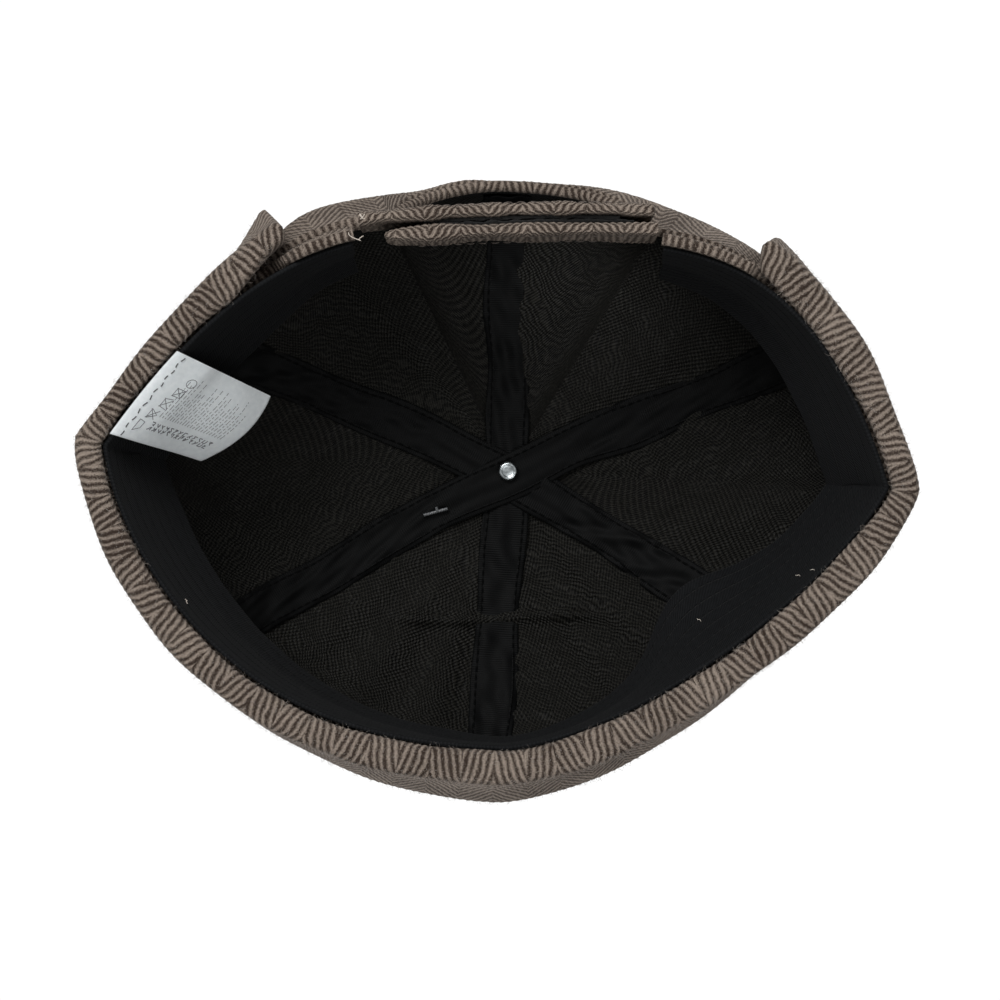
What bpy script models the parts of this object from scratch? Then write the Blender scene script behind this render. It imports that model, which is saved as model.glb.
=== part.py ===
"""Six-panel wool cap with a turned-up cuff, a hook-and-loop back strap and a half-moon opening.

The cap stands crown up on the lower edge of its cuff. +Z is up, the wearer faces -Y and the
wearer's left is +X. The origin is on the plane that the cap stands on, inside the opening.
Every layer is a closed sheet laid on one wall surface, at its own distance from it.
"""

import math

import bpy
import numpy as np

# Opening: the inner edge of the headband on its lowest plane.
LEFT_REACH = 0.1128
RIGHT_REACH = 0.1106
FRONT_DEPTH = 0.0812
BACK_DEPTH = 0.0665
TIP_Y = 0.0097
TIP_SLOPE = 0.056
# How square (first) and how blunt (second) each quarter of the opening is.
BACK_LEFT_SHAPE = (2.7, 1.05)
BACK_RIGHT_SHAPE = (4.5, 0.90)
FRONT_RIGHT_SHAPE = (1.5, 0.82)
FRONT_LEFT_SHAPE = (2.6, 0.65)

# Crown: a dome over the opening that bulges out past it, most at the back.
CROWN_CENTRE = (-0.0025, 0.0090)
CROWN_HEIGHT = 0.0920
CROWN_SQUARENESS = 0.62
SIDE_BULGE = 0.008
FRONT_BULGE = 0.024
BACK_BULGE = 0.031
# How narrowly the bulge keeps to the middle of the front, the back's left and the back's right.
FRONT_FOCUS = 2.0
BACK_LEFT_FOCUS = 5.0
BACK_RIGHT_FOCUS = 1.2
# A soft swell of the back left panel, its direction and its half width in degrees.
LEFT_SWELL = 0.014
LEFT_SWELL_ANGLE = 50.0
LEFT_SWELL_SPREAD = 14.0
BULGE_RISE = 1.3
SEAM_ANGLES = (23.0, 90.0, 158.7, 212.9, 274.0, 330.5)
CENTRE_HOLE = 0.0019

# Sheets, from the outside in, and the gap that lies between any two of them.
GAP = 0.0003
WOOL = 0.0020
LINING = 0.0006
TAPE = 0.0006
TAPE_GAP = 0.0010
TAPE_WIDTH = 0.0145

# Headband and the half-moon opening over the back strap.
BAND_HEIGHT = 0.0240
PANEL_STEP = 0.0011
BACK_GAP_LEFT = 0.0410
BACK_GAP_RIGHT = 0.0455
ARCH_MIDDLE = -0.0060
ARCH_HALF_WIDTH = 0.0370
ARCH_HEIGHT = 0.0330
FACING_WIDTH = 0.0090
FACING_STEP = 0.0006
# Share of the half moon's width that the facing runs along.
FACING_REACH = 0.97
# Heights at which the tapes start above a panel's edge and above the facing.
TAPE_STEP = 0.0005
ARCH_TAPE_STEP = 0.0015
# How far short of the headband's ends its interlining and the sweatband stop, in columns.
LINED_INSET = 0.15
INTERLINING = 0.0006

# Sweatband: sewn along the bottom, its free upper edge leans inward.
SWEAT_BOTTOM = 0.0030
SWEAT_HEIGHT = 0.0320
SWEAT_THICKNESS = 0.0012
SWEAT_SIDE_LEAN = 0.0125
SWEAT_FRONT_LEAN = 0.0032
SWEAT_BACK_LEAN = 0.0060
SWEAT_BULGE = 0.0125
SWEAT_BULGE_ANGLE = 221.0
SWEAT_BULGE_SPREAD = 15.0
SWEAT_CURL = 1.3

# Cuff: one piece of wool folded round a stiffener and turned up outside the headband.
CUFF_HEIGHT = 0.0480
CUFF_GAP = 0.0007
CUFF_INNER_LEG = 0.0020
CUFF_OUTER_LEG = 0.0019
CUFF_STIFFENER = 0.0008
CUFF_SLOT_GAP = 0.0009
CUFF_FOLD = 0.0022
CUFF_ROUND = 0.0022
CUFF_LEFT_X = 0.0570
CUFF_RIGHT_X = 0.0700
CUFF_LEFT_FLARE = 0.0065
CUFF_RIGHT_FLARE = 0.0025
FLARE_ANGLE = 17.0
# How far short of the cuff's ends its stiffener stops, in columns, and of its top.
STIFFENER_INSET = 0.2
STIFFENER_MARGIN = 0.001

# Back strap: two tabs that close on each other.
TAB_THICKNESS = 0.0030
TAB_MARGIN = 0.0010
# How far each tab's root and tip stand out from the headband's end.
OUTER_TAB_ROOT_OUT = 0.0035
OUTER_TAB_TIP_OUT = 0.0072
OUTER_TAB_TIP_STEP = 0.0005
OUTER_TAB_BOW = 0.0016
OUTER_TAB_CORNER = 0.0020
INNER_TAB_LENGTH = 0.0770
INNER_TAB_ROOT_OUT = 0.0019
INNER_TAB_TIP_OUT = 0.0002
INNER_TAB_BOW = 0.0008
PATCH_THICKNESS = 0.0006
PATCH_MARGIN = 0.0030
PATCH_CORNER = 0.0010
HOOK_START = 0.22
HOOK_END = 0.88
LOOP_START = 0.09
LOOP_END = 0.80

# Button on the crown and the rivet cap that closes it on the inside.
BUTTON_RADIUS = 0.0088
BUTTON_DOME = 0.0046
BUTTON_WOOL = 0.0012
PRONG_RADIUS = 0.0015
SOCKET_DEPTH = 0.0011
RIVET_RADIUS = 0.0029
RIVET_THICKNESS = 0.0018

# Care label, sewn by one short edge beside the left tip.
LABEL_WIDTH = 0.0290
LABEL_LENGTH = 0.0400
LABEL_THICKNESS = 0.0005
LABEL_ANGLE = 12.0
LABEL_TILT = 51.0
LABEL_HEIGHT = 0.0013
LABEL_INSET = 0.0042

# Tag fastener: a plastic T left in one of the tapes.
TAG_SEAM = 5
TAG_RADIUS = 0.0260
TAG_BAR = 0.0075
TAG_STEM = 0.0025
TAG_SIZE = 0.0007
TAG_GAP = 0.0007

COLUMNS_PER_PANEL = (10, 10, 6, 6, 6, 6)
DOME_ROWS = 6
TOP_ZONE = math.radians(75.0)
TAPE_OVERLAP = (0.0180, 0.0360)


def opening_quarter(x, reach, depth, shape):
    """Distance of the opening's edge from the line through its tips, at x."""
    share = np.clip(np.abs(x) / reach, 0.0, 1.0)
    return depth * (1.0 - share ** shape[0]) ** shape[1]


def opening_outline():
    """The inner edge of the headband as a closed row of points, from the left tip round the back."""
    turn = np.radians(np.arange(0.0, 360.0, 0.5))
    left = np.cos(turn) >= 0.0
    back = np.sin(turn) >= 0.0
    x = np.where(left, LEFT_REACH, RIGHT_REACH) * np.cos(turn)
    back_left = opening_quarter(x, LEFT_REACH, BACK_DEPTH, BACK_LEFT_SHAPE)
    back_right = opening_quarter(x, RIGHT_REACH, BACK_DEPTH, BACK_RIGHT_SHAPE)
    front_left = opening_quarter(x, LEFT_REACH, FRONT_DEPTH, FRONT_LEFT_SHAPE)
    front_right = opening_quarter(x, RIGHT_REACH, FRONT_DEPTH, FRONT_RIGHT_SHAPE)
    away = np.where(back, np.where(left, back_left, back_right), -np.where(left, front_left, front_right))
    return np.stack([x, TIP_Y + TIP_SLOPE * x + away], axis=1)


OUTLINE = opening_outline() - np.array(CROWN_CENTRE)
OUTLINE_ANGLES = np.unwrap(np.arctan2(OUTLINE[:, 1], OUTLINE[:, 0]))
OUTLINE_RADII = np.hypot(OUTLINE[:, 0], OUTLINE[:, 1])


def rim_radius(theta):
    """Distance from the crown's centre to the opening's edge in the direction theta."""
    return np.interp(theta, OUTLINE_ANGLES, OUTLINE_RADII, period=2.0 * math.pi)


def theta_at_x(x):
    """Direction of the point at x on the back edge of the opening."""
    back = OUTLINE[:, 1] > 0.0
    order = np.argsort(OUTLINE[back, 0])
    return float(np.interp(x - CROWN_CENTRE[0], OUTLINE[back, 0][order], OUTLINE_ANGLES[back][order]))


def bulge(theta):
    """How far the crown stands out past the opening in the direction theta."""
    end = np.where(np.sin(theta) > 0.0, BACK_BULGE, FRONT_BULGE)
    back_focus = np.where(np.cos(theta) > 0.0, BACK_LEFT_FOCUS, BACK_RIGHT_FOCUS)
    focus = np.where(np.sin(theta) > 0.0, back_focus, FRONT_FOCUS)
    away = (np.degrees(theta) % 360.0 - LEFT_SWELL_ANGLE) / LEFT_SWELL_SPREAD
    swell = LEFT_SWELL * np.exp(-(away**2))
    return SIDE_BULGE + (end - SIDE_BULGE) * np.abs(np.sin(theta)) ** focus + swell


def rise_at(height):
    """The dome angle at which the wall has this height."""
    return np.arcsin(np.clip(height / CROWN_HEIGHT, 0.0, 1.0) ** (1.0 / CROWN_SQUARENESS))


def wall_radius(theta, rise):
    """Distance of the wall from the crown's axis: a squared dome that bulges above the band."""
    closing = np.clip(np.cos(rise), 0.0, 1.0) ** CROWN_SQUARENESS
    return closing * (rim_radius(theta) + bulge(theta) * np.clip(np.sin(2.0 * rise), 0.0, 1.0) ** BULGE_RISE)


def dome(theta, rise):
    """The inner face of the wool: a point for each direction theta and dome angle rise."""
    radius = wall_radius(theta, rise)
    height = CROWN_HEIGHT * np.clip(np.sin(rise), 0.0, 1.0) ** CROWN_SQUARENESS + 0.0 * radius
    x = CROWN_CENTRE[0] + radius * np.cos(theta)
    y = CROWN_CENTRE[1] + radius * np.sin(theta)
    return np.stack([x, y, height], axis=-1)


def column_starts():
    """The column number at which each panel starts, and the total."""
    return np.concatenate([[0], np.cumsum(COLUMNS_PER_PANEL)])


STARTS = column_starts()
COLUMNS = int(STARTS[-1])
SEAMS = np.radians(SEAM_ANGLES + (SEAM_ANGLES[0] + 360.0,))


def column_theta(column):
    """The direction of a column, which may be a fraction or past a full turn."""
    turns = np.floor(np.asarray(column) / COLUMNS)
    return np.interp(column - turns * COLUMNS, STARTS, SEAMS) + 2.0 * math.pi * turns


def theta_column(theta):
    """The column number of a direction."""
    turns = math.floor((theta - SEAMS[0]) / (2.0 * math.pi))
    return float(np.interp(theta - 2.0 * math.pi * turns, SEAMS, STARTS)) + COLUMNS * turns


def unit(vectors):
    """The vectors at length one."""
    return vectors / np.linalg.norm(vectors, axis=-1, keepdims=True)


def between_columns(function, column, rise):
    """A value at a column: the blend of the two whole columns beside it, so that facets stay flat."""
    low = np.floor(column)
    share = (column - low)[..., None]
    return (1.0 - share) * function(low, rise) + share * function(low + 1.0, rise)


def column_point(column, rise):
    """The wall at a whole column."""
    return dome(column_theta(column), rise)


def column_normal(column, rise):
    """The wall's outward direction at a whole column."""
    small = 1e-4
    along = column_point(column + 1.0, rise) - column_point(column - 1.0, rise)
    up = column_point(column, rise + small) - column_point(column, rise)
    return unit(np.cross(along, up))


def wall_sheet(columns, rises, low, high):
    """Two layers of the wall: grids of points at the distances low and high from it."""
    column, rise = np.broadcast_arrays(np.asarray(columns)[None, :], np.asarray(rises))
    points = between_columns(column_point, column, rise)
    outward = unit(between_columns(column_normal, column, rise))
    return points + outward * low, points + outward * high


def band_points(columns, heights, offsets):
    """Points of a band: at given heights, and moved level until they are at their offset from the wall."""
    column, height, offset = np.broadcast_arrays(columns, heights, offsets)
    rise = rise_at(height)
    points = between_columns(column_point, column, rise)
    outward = between_columns(column_normal, column, rise)
    outward[..., 2] = 0.0
    level = np.linalg.norm(outward, axis=-1, keepdims=True)
    points = points + outward * offset[..., None] / level**2
    points[..., 2] = height
    return points


def whole_columns(start, end):
    """The start, each whole column after it, and the end."""
    inner = np.arange(math.floor(start) + 1, math.ceil(end))
    inner = inner[(inner - start > 0.1) & (end - inner > 0.1)]
    return np.concatenate([[start], inner, [end]])


def close_sheet(low, high):
    """A closed body from two grids of points, rows up and columns turning left."""
    rows, columns = low.shape[:2]
    index = np.arange(rows * columns).reshape(rows, columns)
    top = index + rows * columns
    faces = []
    for i in range(rows - 1):
        for j in range(columns - 1):
            faces.append((top[i, j], top[i, j + 1], top[i + 1, j + 1], top[i + 1, j]))
            faces.append((index[i, j], index[i + 1, j], index[i + 1, j + 1], index[i, j + 1]))
    for j in range(columns - 1):
        faces.append((top[0, j + 1], top[0, j], index[0, j], index[0, j + 1]))
        faces.append((top[-1, j], top[-1, j + 1], index[-1, j + 1], index[-1, j]))
    for i in range(rows - 1):
        faces.append((top[i, 0], top[i + 1, 0], index[i + 1, 0], index[i, 0]))
        faces.append((top[i + 1, -1], top[i, -1], index[i, -1], index[i + 1, -1]))
    return np.concatenate([low.reshape(-1, 3), high.reshape(-1, 3)]), faces


def close_sweep(points):
    """A closed body from a closed section (rows) carried along a path (columns)."""
    rows, columns = points.shape[:2]
    index = np.arange(rows * columns).reshape(rows, columns)
    faces = []
    for i in range(rows):
        after = (i + 1) % rows
        for j in range(columns - 1):
            faces.append((index[i, j], index[i, j + 1], index[after, j + 1], index[after, j]))
    faces.append(tuple(index[:, 0]))
    faces.append(tuple(index[::-1, -1]))
    return points.reshape(-1, 3), faces


def turned(profile, centre, segments=24):
    """A body turned about a vertical axis from a profile that starts and ends on it, bottom first."""
    profile = np.asarray(profile)
    turn = 2.0 * math.pi * np.arange(segments) / segments
    middle = profile[1:-1]
    x = centre[0] + middle[:, :1] * np.cos(turn)
    y = centre[1] + middle[:, :1] * np.sin(turn)
    z = np.broadcast_to(middle[:, 1:], x.shape)
    rings = np.stack([x, y, z], axis=-1)
    ends = [(centre[0], centre[1], profile[0][1]), (centre[0], centre[1], profile[-1][1])]
    vertices = np.concatenate([rings.reshape(-1, 3), ends])
    first = len(vertices) - 2
    faces = []
    for j in range(segments):
        after = (j + 1) % segments
        faces.append((first, after, j))
        for i in range(len(middle) - 1):
            row = i * segments
            faces.append((row + j, row + after, row + segments + after, row + segments + j))
        row = (len(middle) - 1) * segments
        faces.append((first + 1, row + j, row + after))
    return vertices, faces


def finish(name, colour, roughness, metallic=0.0):
    """A plain material of one colour."""
    material = bpy.data.materials.new(name)
    material.use_nodes = True
    shader = material.node_tree.nodes["Principled BSDF"]
    shader.inputs["Base Color"].default_value = (*colour, 1.0)
    shader.inputs["Roughness"].default_value = roughness
    shader.inputs["Metallic"].default_value = metallic
    return material


def add_piece(name, body, material, origin=(0.0, 0.0, 0.0), parent=None, smooth=False):
    """An object for one piece, with its own origin."""
    vertices, faces = body
    mesh = bpy.data.meshes.new(name)
    mesh.from_pydata((vertices - np.asarray(origin)).tolist(), [], [tuple(map(int, f)) for f in faces])
    mesh.materials.append(material)
    if smooth:
        mesh.shade_smooth()
        mesh.set_sharp_from_angle(angle=math.radians(35.0))
    piece = bpy.data.objects.new(name, mesh)
    bpy.context.collection.objects.link(piece)
    piece.location = origin
    if parent is not None:
        piece.parent = parent
        piece.location = np.asarray(origin) - np.asarray(parent.location)
    return piece


for old in list(bpy.data.objects):
    bpy.data.objects.remove(old, do_unlink=True)

WOOL_FINISH = finish("herringbone_wool", (0.125, 0.095, 0.075), 0.95)
LINING_FINISH = finish("lining_mesh", (0.012, 0.012, 0.011), 0.75)
TAPE_FINISH = finish("satin_tape", (0.010, 0.010, 0.010), 0.45)
TWILL_FINISH = finish("twill", (0.012, 0.013, 0.015), 0.85)
STIFF_FINISH = finish("interlining", (0.60, 0.58, 0.53), 0.90)
HOOK_FINISH = finish("hook_and_loop", (0.008, 0.008, 0.008), 0.80)
STEEL_FINISH = finish("plated_steel", (0.62, 0.64, 0.66), 0.30, 1.0)
LABEL_FINISH = finish("white_satin", (0.80, 0.82, 0.83), 0.40)
PLASTIC_FINISH = finish("clear_plastic", (0.75, 0.76, 0.76), 0.35)

PANEL_BOTTOM = BAND_HEIGHT + PANEL_STEP
LOW_RISES = rise_at(np.linspace(PANEL_BOTTOM, CUFF_HEIGHT, 3))
CLOSE_SHARE = (CENTRE_HOLE / OUTLINE_RADII.min()) ** (1.0 / CROWN_SQUARENESS)
LAST_RISE = math.acos(CLOSE_SHARE)


def dome_rises():
    """Dome angles of a panel's rows: at the band, at the cuff's top, then closer towards the hole."""
    steps = np.linspace(0.0, 1.0, DOME_ROWS + 1)[1:]
    return np.concatenate([LOW_RISES, LOW_RISES[-1] + (LAST_RISE - LOW_RISES[-1]) * steps])


ROW_RISES = dome_rises()


def lower_edge(columns):
    """Dome angle of a panel's lower edge: level with the band, and raised over the half moon."""
    edge = between_columns(column_point, np.asarray(columns), LOW_RISES[0])
    share = np.clip((edge[..., 0] - ARCH_MIDDLE) / ARCH_HALF_WIDTH, -1.0, 1.0)
    over = np.where(edge[..., 1] > 0.0, ARCH_HEIGHT * np.sqrt(1.0 - share**2), 0.0)
    return rise_at(PANEL_BOTTOM + over)


def panel_rises(columns):
    """Dome angles of every point of a panel, its rows closed up over the half moon."""
    low = lower_edge(columns)[None, :]
    share = (ROW_RISES - ROW_RISES[0]) / (ROW_RISES[-1] - ROW_RISES[0])
    return low + (ROW_RISES[-1] - low) * share[:, None]


def add_panels(name, low, high, material):
    """Six panels that meet at the seams with a gap between them."""
    half_gap = 0.5 * GAP / OUTLINE_RADII.min()
    for i in range(len(COLUMNS_PER_PANEL)):
        columns = np.arange(STARTS[i], STARTS[i + 1] + 1, dtype=float)
        rises = panel_rises(columns)
        inset = half_gap / (SEAMS[i + 1] - SEAMS[i]) * COLUMNS_PER_PANEL[i]
        radius = wall_radius(column_theta(columns), rises)
        inset = inset * OUTLINE_RADII.min() / radius[:, [0, -1]]
        grid = np.broadcast_to(columns, rises.shape).copy()
        grid[:, 0] += inset[:, 0]
        grid[:, -1] -= inset[:, 1]
        points = between_columns(column_point, grid, rises)
        outward = unit(between_columns(column_normal, grid, rises))
        add_piece(f"{name}_{i + 1}", close_sheet(points + outward * low, points + outward * high), material)


add_panels("crown_panel", 0.0, WOOL, WOOL_FINISH)
add_panels("crown_lining", -GAP - LINING, -GAP, LINING_FINISH)

# Tapes over the seams: three long strips that cross under the button, one over the other.
TAPE_OUTER = -GAP - LINING - TAPE_GAP
TAPE_INNER = TAPE_OUTER - TAPE


def rise_at_radius(theta, radius):
    """The dome angle, near the crown's middle, at which the wall is this far from the axis."""
    low = np.full(np.shape(radius), math.radians(45.0))
    high = np.full(np.shape(radius), math.radians(90.0))
    for _ in range(40):
        middle = 0.5 * (low + high)
        outside = wall_radius(theta, middle) > radius
        low = np.where(outside, middle, low)
        high = np.where(outside, high, middle)
    return 0.5 * (low + high)


def ramp(value):
    """Zero below zero and the value above it, with a rounded corner."""
    rounding = 0.008
    return 0.5 * (value + np.sqrt(value**2 + rounding**2))


def tape_lift(radius, order):
    """How far a tape is lifted off the lining where it crosses the tapes under it."""
    share = np.clip((TAPE_OVERLAP[1] - radius) / (TAPE_OVERLAP[1] - TAPE_OVERLAP[0]), 0.0, 1.0)
    return order * (TAPE + GAP) * share * share * (3.0 - 2.0 * share)


def tape_side(seam, low_height):
    """Points of the part of a tape that climbs one wall, from its lower end, left edge first."""
    rises = ROW_RISES[(ROW_RISES > rise_at(low_height)) & (ROW_RISES < TOP_ZONE)]
    rises = np.concatenate([[rise_at(low_height)], rises, [TOP_ZONE]])[:, None]
    across = np.array([0.5, 0.0, -0.5]) * TAPE_WIDTH
    theta = SEAMS[seam] - np.arctan2(across, wall_radius(SEAMS[seam], rises))
    columns = np.vectorize(theta_column)(theta)
    return between_columns(column_point, columns, np.broadcast_to(rises, columns.shape))


def tape_top(seam_a, seam_b):
    """Points of the part of a tape that crosses the crown's middle."""
    reach_a = wall_radius(SEAMS[seam_a], TOP_ZONE)
    reach_b = wall_radius(SEAMS[seam_b], TOP_ZONE)
    steps = np.concatenate([-reach_a * np.array([0.72, 0.45, 0.2]), reach_b * np.array([0.0, 0.2, 0.45, 0.72])])
    way_a = np.array([math.cos(SEAMS[seam_a]), math.sin(SEAMS[seam_a])])
    way_b = np.array([math.cos(SEAMS[seam_b]), math.sin(SEAMS[seam_b])])
    middle = way_a * ramp(-steps)[:, None] + way_b * ramp(steps)[:, None]
    along = unit(np.gradient(middle, axis=0))
    left = np.stack([-along[:, 1], along[:, 0]], axis=1)
    across = np.array([0.5, 0.0, -0.5]) * TAPE_WIDTH
    flat = middle[:, None, :] + left[:, None, :] * across[None, :, None]
    theta = np.arctan2(flat[..., 1], flat[..., 0])
    return dome(theta, rise_at_radius(theta, np.hypot(flat[..., 0], flat[..., 1])))


def tape_body(seam_a, seam_b, low_a, low_b, order):
    """A strip from the lower end of one seam over the crown's middle to that of the opposite one."""
    up = tape_side(seam_a, low_a)
    down = tape_side(seam_b, low_b)[::-1, ::-1]
    points = np.concatenate([up, tape_top(seam_a, seam_b), down])
    rows = np.gradient(points, axis=0)
    across = np.gradient(points, axis=1)
    outward = unit(np.cross(across, rows))
    flat = points[..., :2] - np.array(CROWN_CENTRE)
    lift = tape_lift(np.linalg.norm(flat, axis=-1), order)[..., None]
    return close_sheet(points + outward * (TAPE_INNER - lift), points + outward * (TAPE_OUTER - lift))


# Each tape's name, its two seams, and how many tapes it lies over.
TAPES = (("seam_tape_centre", 1, 4, 0), ("seam_tape_left_back", 0, 3, 1), ("seam_tape_right_back", 2, 5, 2))
TAPE_BOTTOM = PANEL_BOTTOM + TAPE_STEP
ARCH_TAPE_BOTTOM = PANEL_BOTTOM + ARCH_HEIGHT + FACING_WIDTH + ARCH_TAPE_STEP
STACK = CROWN_HEIGHT + TAPE_INNER - 2.0 * (TAPE + GAP)
hole_body = turned(
    [(0.0, 0.8 * CROWN_HEIGHT), (PRONG_RADIUS + GAP, 0.8 * CROWN_HEIGHT),
     (PRONG_RADIUS + GAP, 1.2 * CROWN_HEIGHT), (0.0, 1.2 * CROWN_HEIGHT)], CROWN_CENTRE)
hole_cutter = add_piece("prong_hole_cutter", hole_body, STEEL_FINISH)
hole_cutter.hide_render = True
hole_cutter.display_type = "WIRE"
for tape_name, first_seam, last_seam, order in TAPES:
    first_low = ARCH_TAPE_BOTTOM if first_seam == 1 else TAPE_BOTTOM
    tape = add_piece(tape_name, tape_body(first_seam, last_seam, first_low, TAPE_BOTTOM, order), TAPE_FINISH)
    hole = tape.modifiers.new("prong_hole", "BOOLEAN")
    hole.operation = "DIFFERENCE"
    hole.solver = "EXACT"
    hole.object = hole_cutter

# Headband with its interlining behind it, open at the back between the strap's two roots.
BAND_START = theta_column(theta_at_x(-BACK_GAP_RIGHT))
BAND_END = theta_column(theta_at_x(BACK_GAP_LEFT)) + COLUMNS
BAND_COLUMNS = whole_columns(BAND_START, BAND_END)


def band_body(columns, heights, low, high):
    """A closed band between two offsets from the wall."""
    columns = columns[None, :]
    heights = np.asarray(heights)[:, None]
    return close_sheet(band_points(columns, heights, low), band_points(columns, heights, high))


BAND_ROWS = np.linspace(0.0, BAND_HEIGHT, 3)
add_piece("headband", band_body(BAND_COLUMNS, BAND_ROWS, 0.0, WOOL), WOOL_FINISH)
LINED_ROWS = np.linspace(SWEAT_BOTTOM, BAND_HEIGHT, 3)
LINED_COLUMNS = whole_columns(BAND_START + LINED_INSET, BAND_END - LINED_INSET)
add_piece("headband_interlining", band_body(LINED_COLUMNS, LINED_ROWS, -GAP - INTERLINING, -GAP), STIFF_FINISH)


def sweat_lean(theta):
    """How far the sweatband's free edge leans in from the wall in the direction theta."""
    end = np.where(np.sin(theta) > 0.0, SWEAT_BACK_LEAN, SWEAT_FRONT_LEAN)
    base = SWEAT_SIDE_LEAN * np.cos(theta) ** 2 + end * np.sin(theta) ** 2
    away = (np.degrees(theta) % 360.0 - SWEAT_BULGE_ANGLE) / SWEAT_BULGE_SPREAD
    return base + SWEAT_BULGE * np.exp(-(away**2))


def sweatband_body():
    """The sweatband: close to the headband at its sewn edge, then curling inward."""
    columns = LINED_COLUMNS[None, :]
    share = np.linspace(0.0, 1.0, 6)[:, None]
    heights = SWEAT_BOTTOM + SWEAT_HEIGHT * share
    behind = GAP + INTERLINING + GAP
    offset = -behind - sweat_lean(column_theta(columns)) * share**SWEAT_CURL
    low = band_points(columns, heights, offset - SWEAT_THICKNESS)
    high = band_points(columns, heights, offset)
    return close_sheet(low, high)


add_piece("sweatband", sweatband_body(), TWILL_FINISH)

# Cuff and its stiffener.
CUFF_START = theta_column(theta_at_x(-CUFF_RIGHT_X))
CUFF_END = theta_column(theta_at_x(CUFF_LEFT_X)) + COLUMNS
CUFF_COLUMNS = whole_columns(CUFF_START, CUFF_END)


def cuff_flare(columns):
    """How far the cuff stands off the headband: its two ends curl away from it."""
    theta = column_theta(columns)
    width = math.radians(FLARE_ANGLE)
    left = np.clip(1.0 - (column_theta(CUFF_END) - theta) / width, 0.0, 1.0)
    right = np.clip(1.0 - (theta - column_theta(CUFF_START)) / width, 0.0, 1.0)
    return CUFF_LEFT_FLARE * left**2 + CUFF_RIGHT_FLARE * right**2


def cuff_section():
    """The cuff's cross-section, offset and height: a folded strip, open upward, with a flat foot."""
    inner = WOOL + CUFF_GAP
    slot_inner = inner + CUFF_INNER_LEG
    slot_outer = slot_inner + CUFF_STIFFENER + 2.0 * CUFF_SLOT_GAP
    outer = slot_outer + CUFF_OUTER_LEG
    corner = CUFF_ROUND * (1.0 - math.sqrt(0.5))
    rows = [BAND_HEIGHT / 2.0, PANEL_BOTTOM, 0.5 * (PANEL_BOTTOM + CUFF_HEIGHT), CUFF_HEIGHT]
    section = [(inner + CUFF_ROUND, 0.0), (outer - CUFF_ROUND, 0.0), (outer - corner, corner)]
    section += [(outer, CUFF_ROUND)] + [(outer, z) for z in rows]
    section += [(slot_outer, z) for z in rows[::-1]]
    section += [(slot_outer, CUFF_FOLD), (slot_inner, CUFF_FOLD)]
    section += [(slot_inner, z) for z in rows]
    section += [(inner, z) for z in rows[::-1]]
    section += [(inner, CUFF_ROUND), (inner + corner, corner)]
    return np.array(section)


SECTION = cuff_section()
FLARE = cuff_flare(CUFF_COLUMNS)[None, :]
cuff_points = band_points(CUFF_COLUMNS[None, :], SECTION[:, 1:], SECTION[:, :1] + FLARE)
add_piece("cuff", close_sweep(cuff_points), WOOL_FINISH)

STIFF_COLUMNS = whole_columns(CUFF_START + STIFFENER_INSET, CUFF_END - STIFFENER_INSET)
STIFF_LOW = WOOL + CUFF_GAP + CUFF_INNER_LEG + CUFF_SLOT_GAP + cuff_flare(STIFF_COLUMNS)[None, :]
STIFF_ROWS = [CUFF_FOLD + GAP, BAND_HEIGHT / 2.0, PANEL_BOTTOM, 0.5 * (PANEL_BOTTOM + CUFF_HEIGHT),
              CUFF_HEIGHT - STIFFENER_MARGIN]
stiff_body = band_body(STIFF_COLUMNS, STIFF_ROWS, STIFF_LOW, STIFF_LOW + CUFF_STIFFENER)
add_piece("cuff_interlining", stiff_body, STIFF_FINISH)


def facing_body():
    """A binding on the inside of the half moon's edge, clear of the tape's end above it."""
    start = theta_column(theta_at_x(ARCH_MIDDLE + FACING_REACH * ARCH_HALF_WIDTH))
    end = theta_column(theta_at_x(ARCH_MIDDLE - FACING_REACH * ARCH_HALF_WIDTH))
    columns = whole_columns(start, end)
    low_height = CROWN_HEIGHT * np.sin(lower_edge(columns)) ** CROWN_SQUARENESS
    rises = np.stack([rise_at(low_height + FACING_STEP), rise_at(low_height + FACING_WIDTH)])
    outer = -GAP - LINING - TAPE_GAP
    return close_sheet(*wall_sheet(columns, rises, outer - TAPE, outer))


add_piece("half_moon_facing", facing_body(), TAPE_FINISH)


def tab_path(root, tip, bow, share):
    """Points and outward directions along a tab that bows outward between its root and its tip."""
    root = np.array(root)
    tip = np.array(tip)
    share = share[:, None]
    chord = unit(tip - root)
    out = np.array([chord[1], -chord[0]]) * (1.0 if chord[0] < 0.0 else -1.0)
    middle = root + (tip - root) * share + out * bow * 4.0 * share * (1.0 - share)
    along = chord + out * bow * 4.0 * (1.0 - 2.0 * share) / np.linalg.norm(tip - root)
    along = unit(along)
    turned_left = np.stack([along[:, 1], -along[:, 0]], axis=1) * (1.0 if chord[0] < 0.0 else -1.0)
    return middle, turned_left


def strip_body(path, low, high, margin, corner):
    """A standing strip along a path, between two offsets, with its far end rounded by corner."""
    middle, out = path
    length = np.concatenate([[0.0], np.cumsum(np.linalg.norm(np.diff(middle, axis=0), axis=1))])
    half = BAND_HEIGHT / 2.0 - margin
    past = np.clip(length - (length[-1] - corner), 0.0, corner)
    tall = half - corner + np.sqrt(corner**2 - (0.98 * past) ** 2)
    heights = BAND_HEIGHT / 2.0 + tall * np.array([-1.0, 0.0, 1.0])[:, None]
    layers = []
    for offset in (low, high):
        flat = np.broadcast_to(middle + out * offset, (3,) + middle.shape)
        layers.append(np.concatenate([flat, heights[..., None]], axis=2))
    if middle[-1, 0] < middle[0, 0]:
        return close_sheet(*layers)
    return close_sheet(layers[0][:, ::-1], layers[1][:, ::-1])


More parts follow.
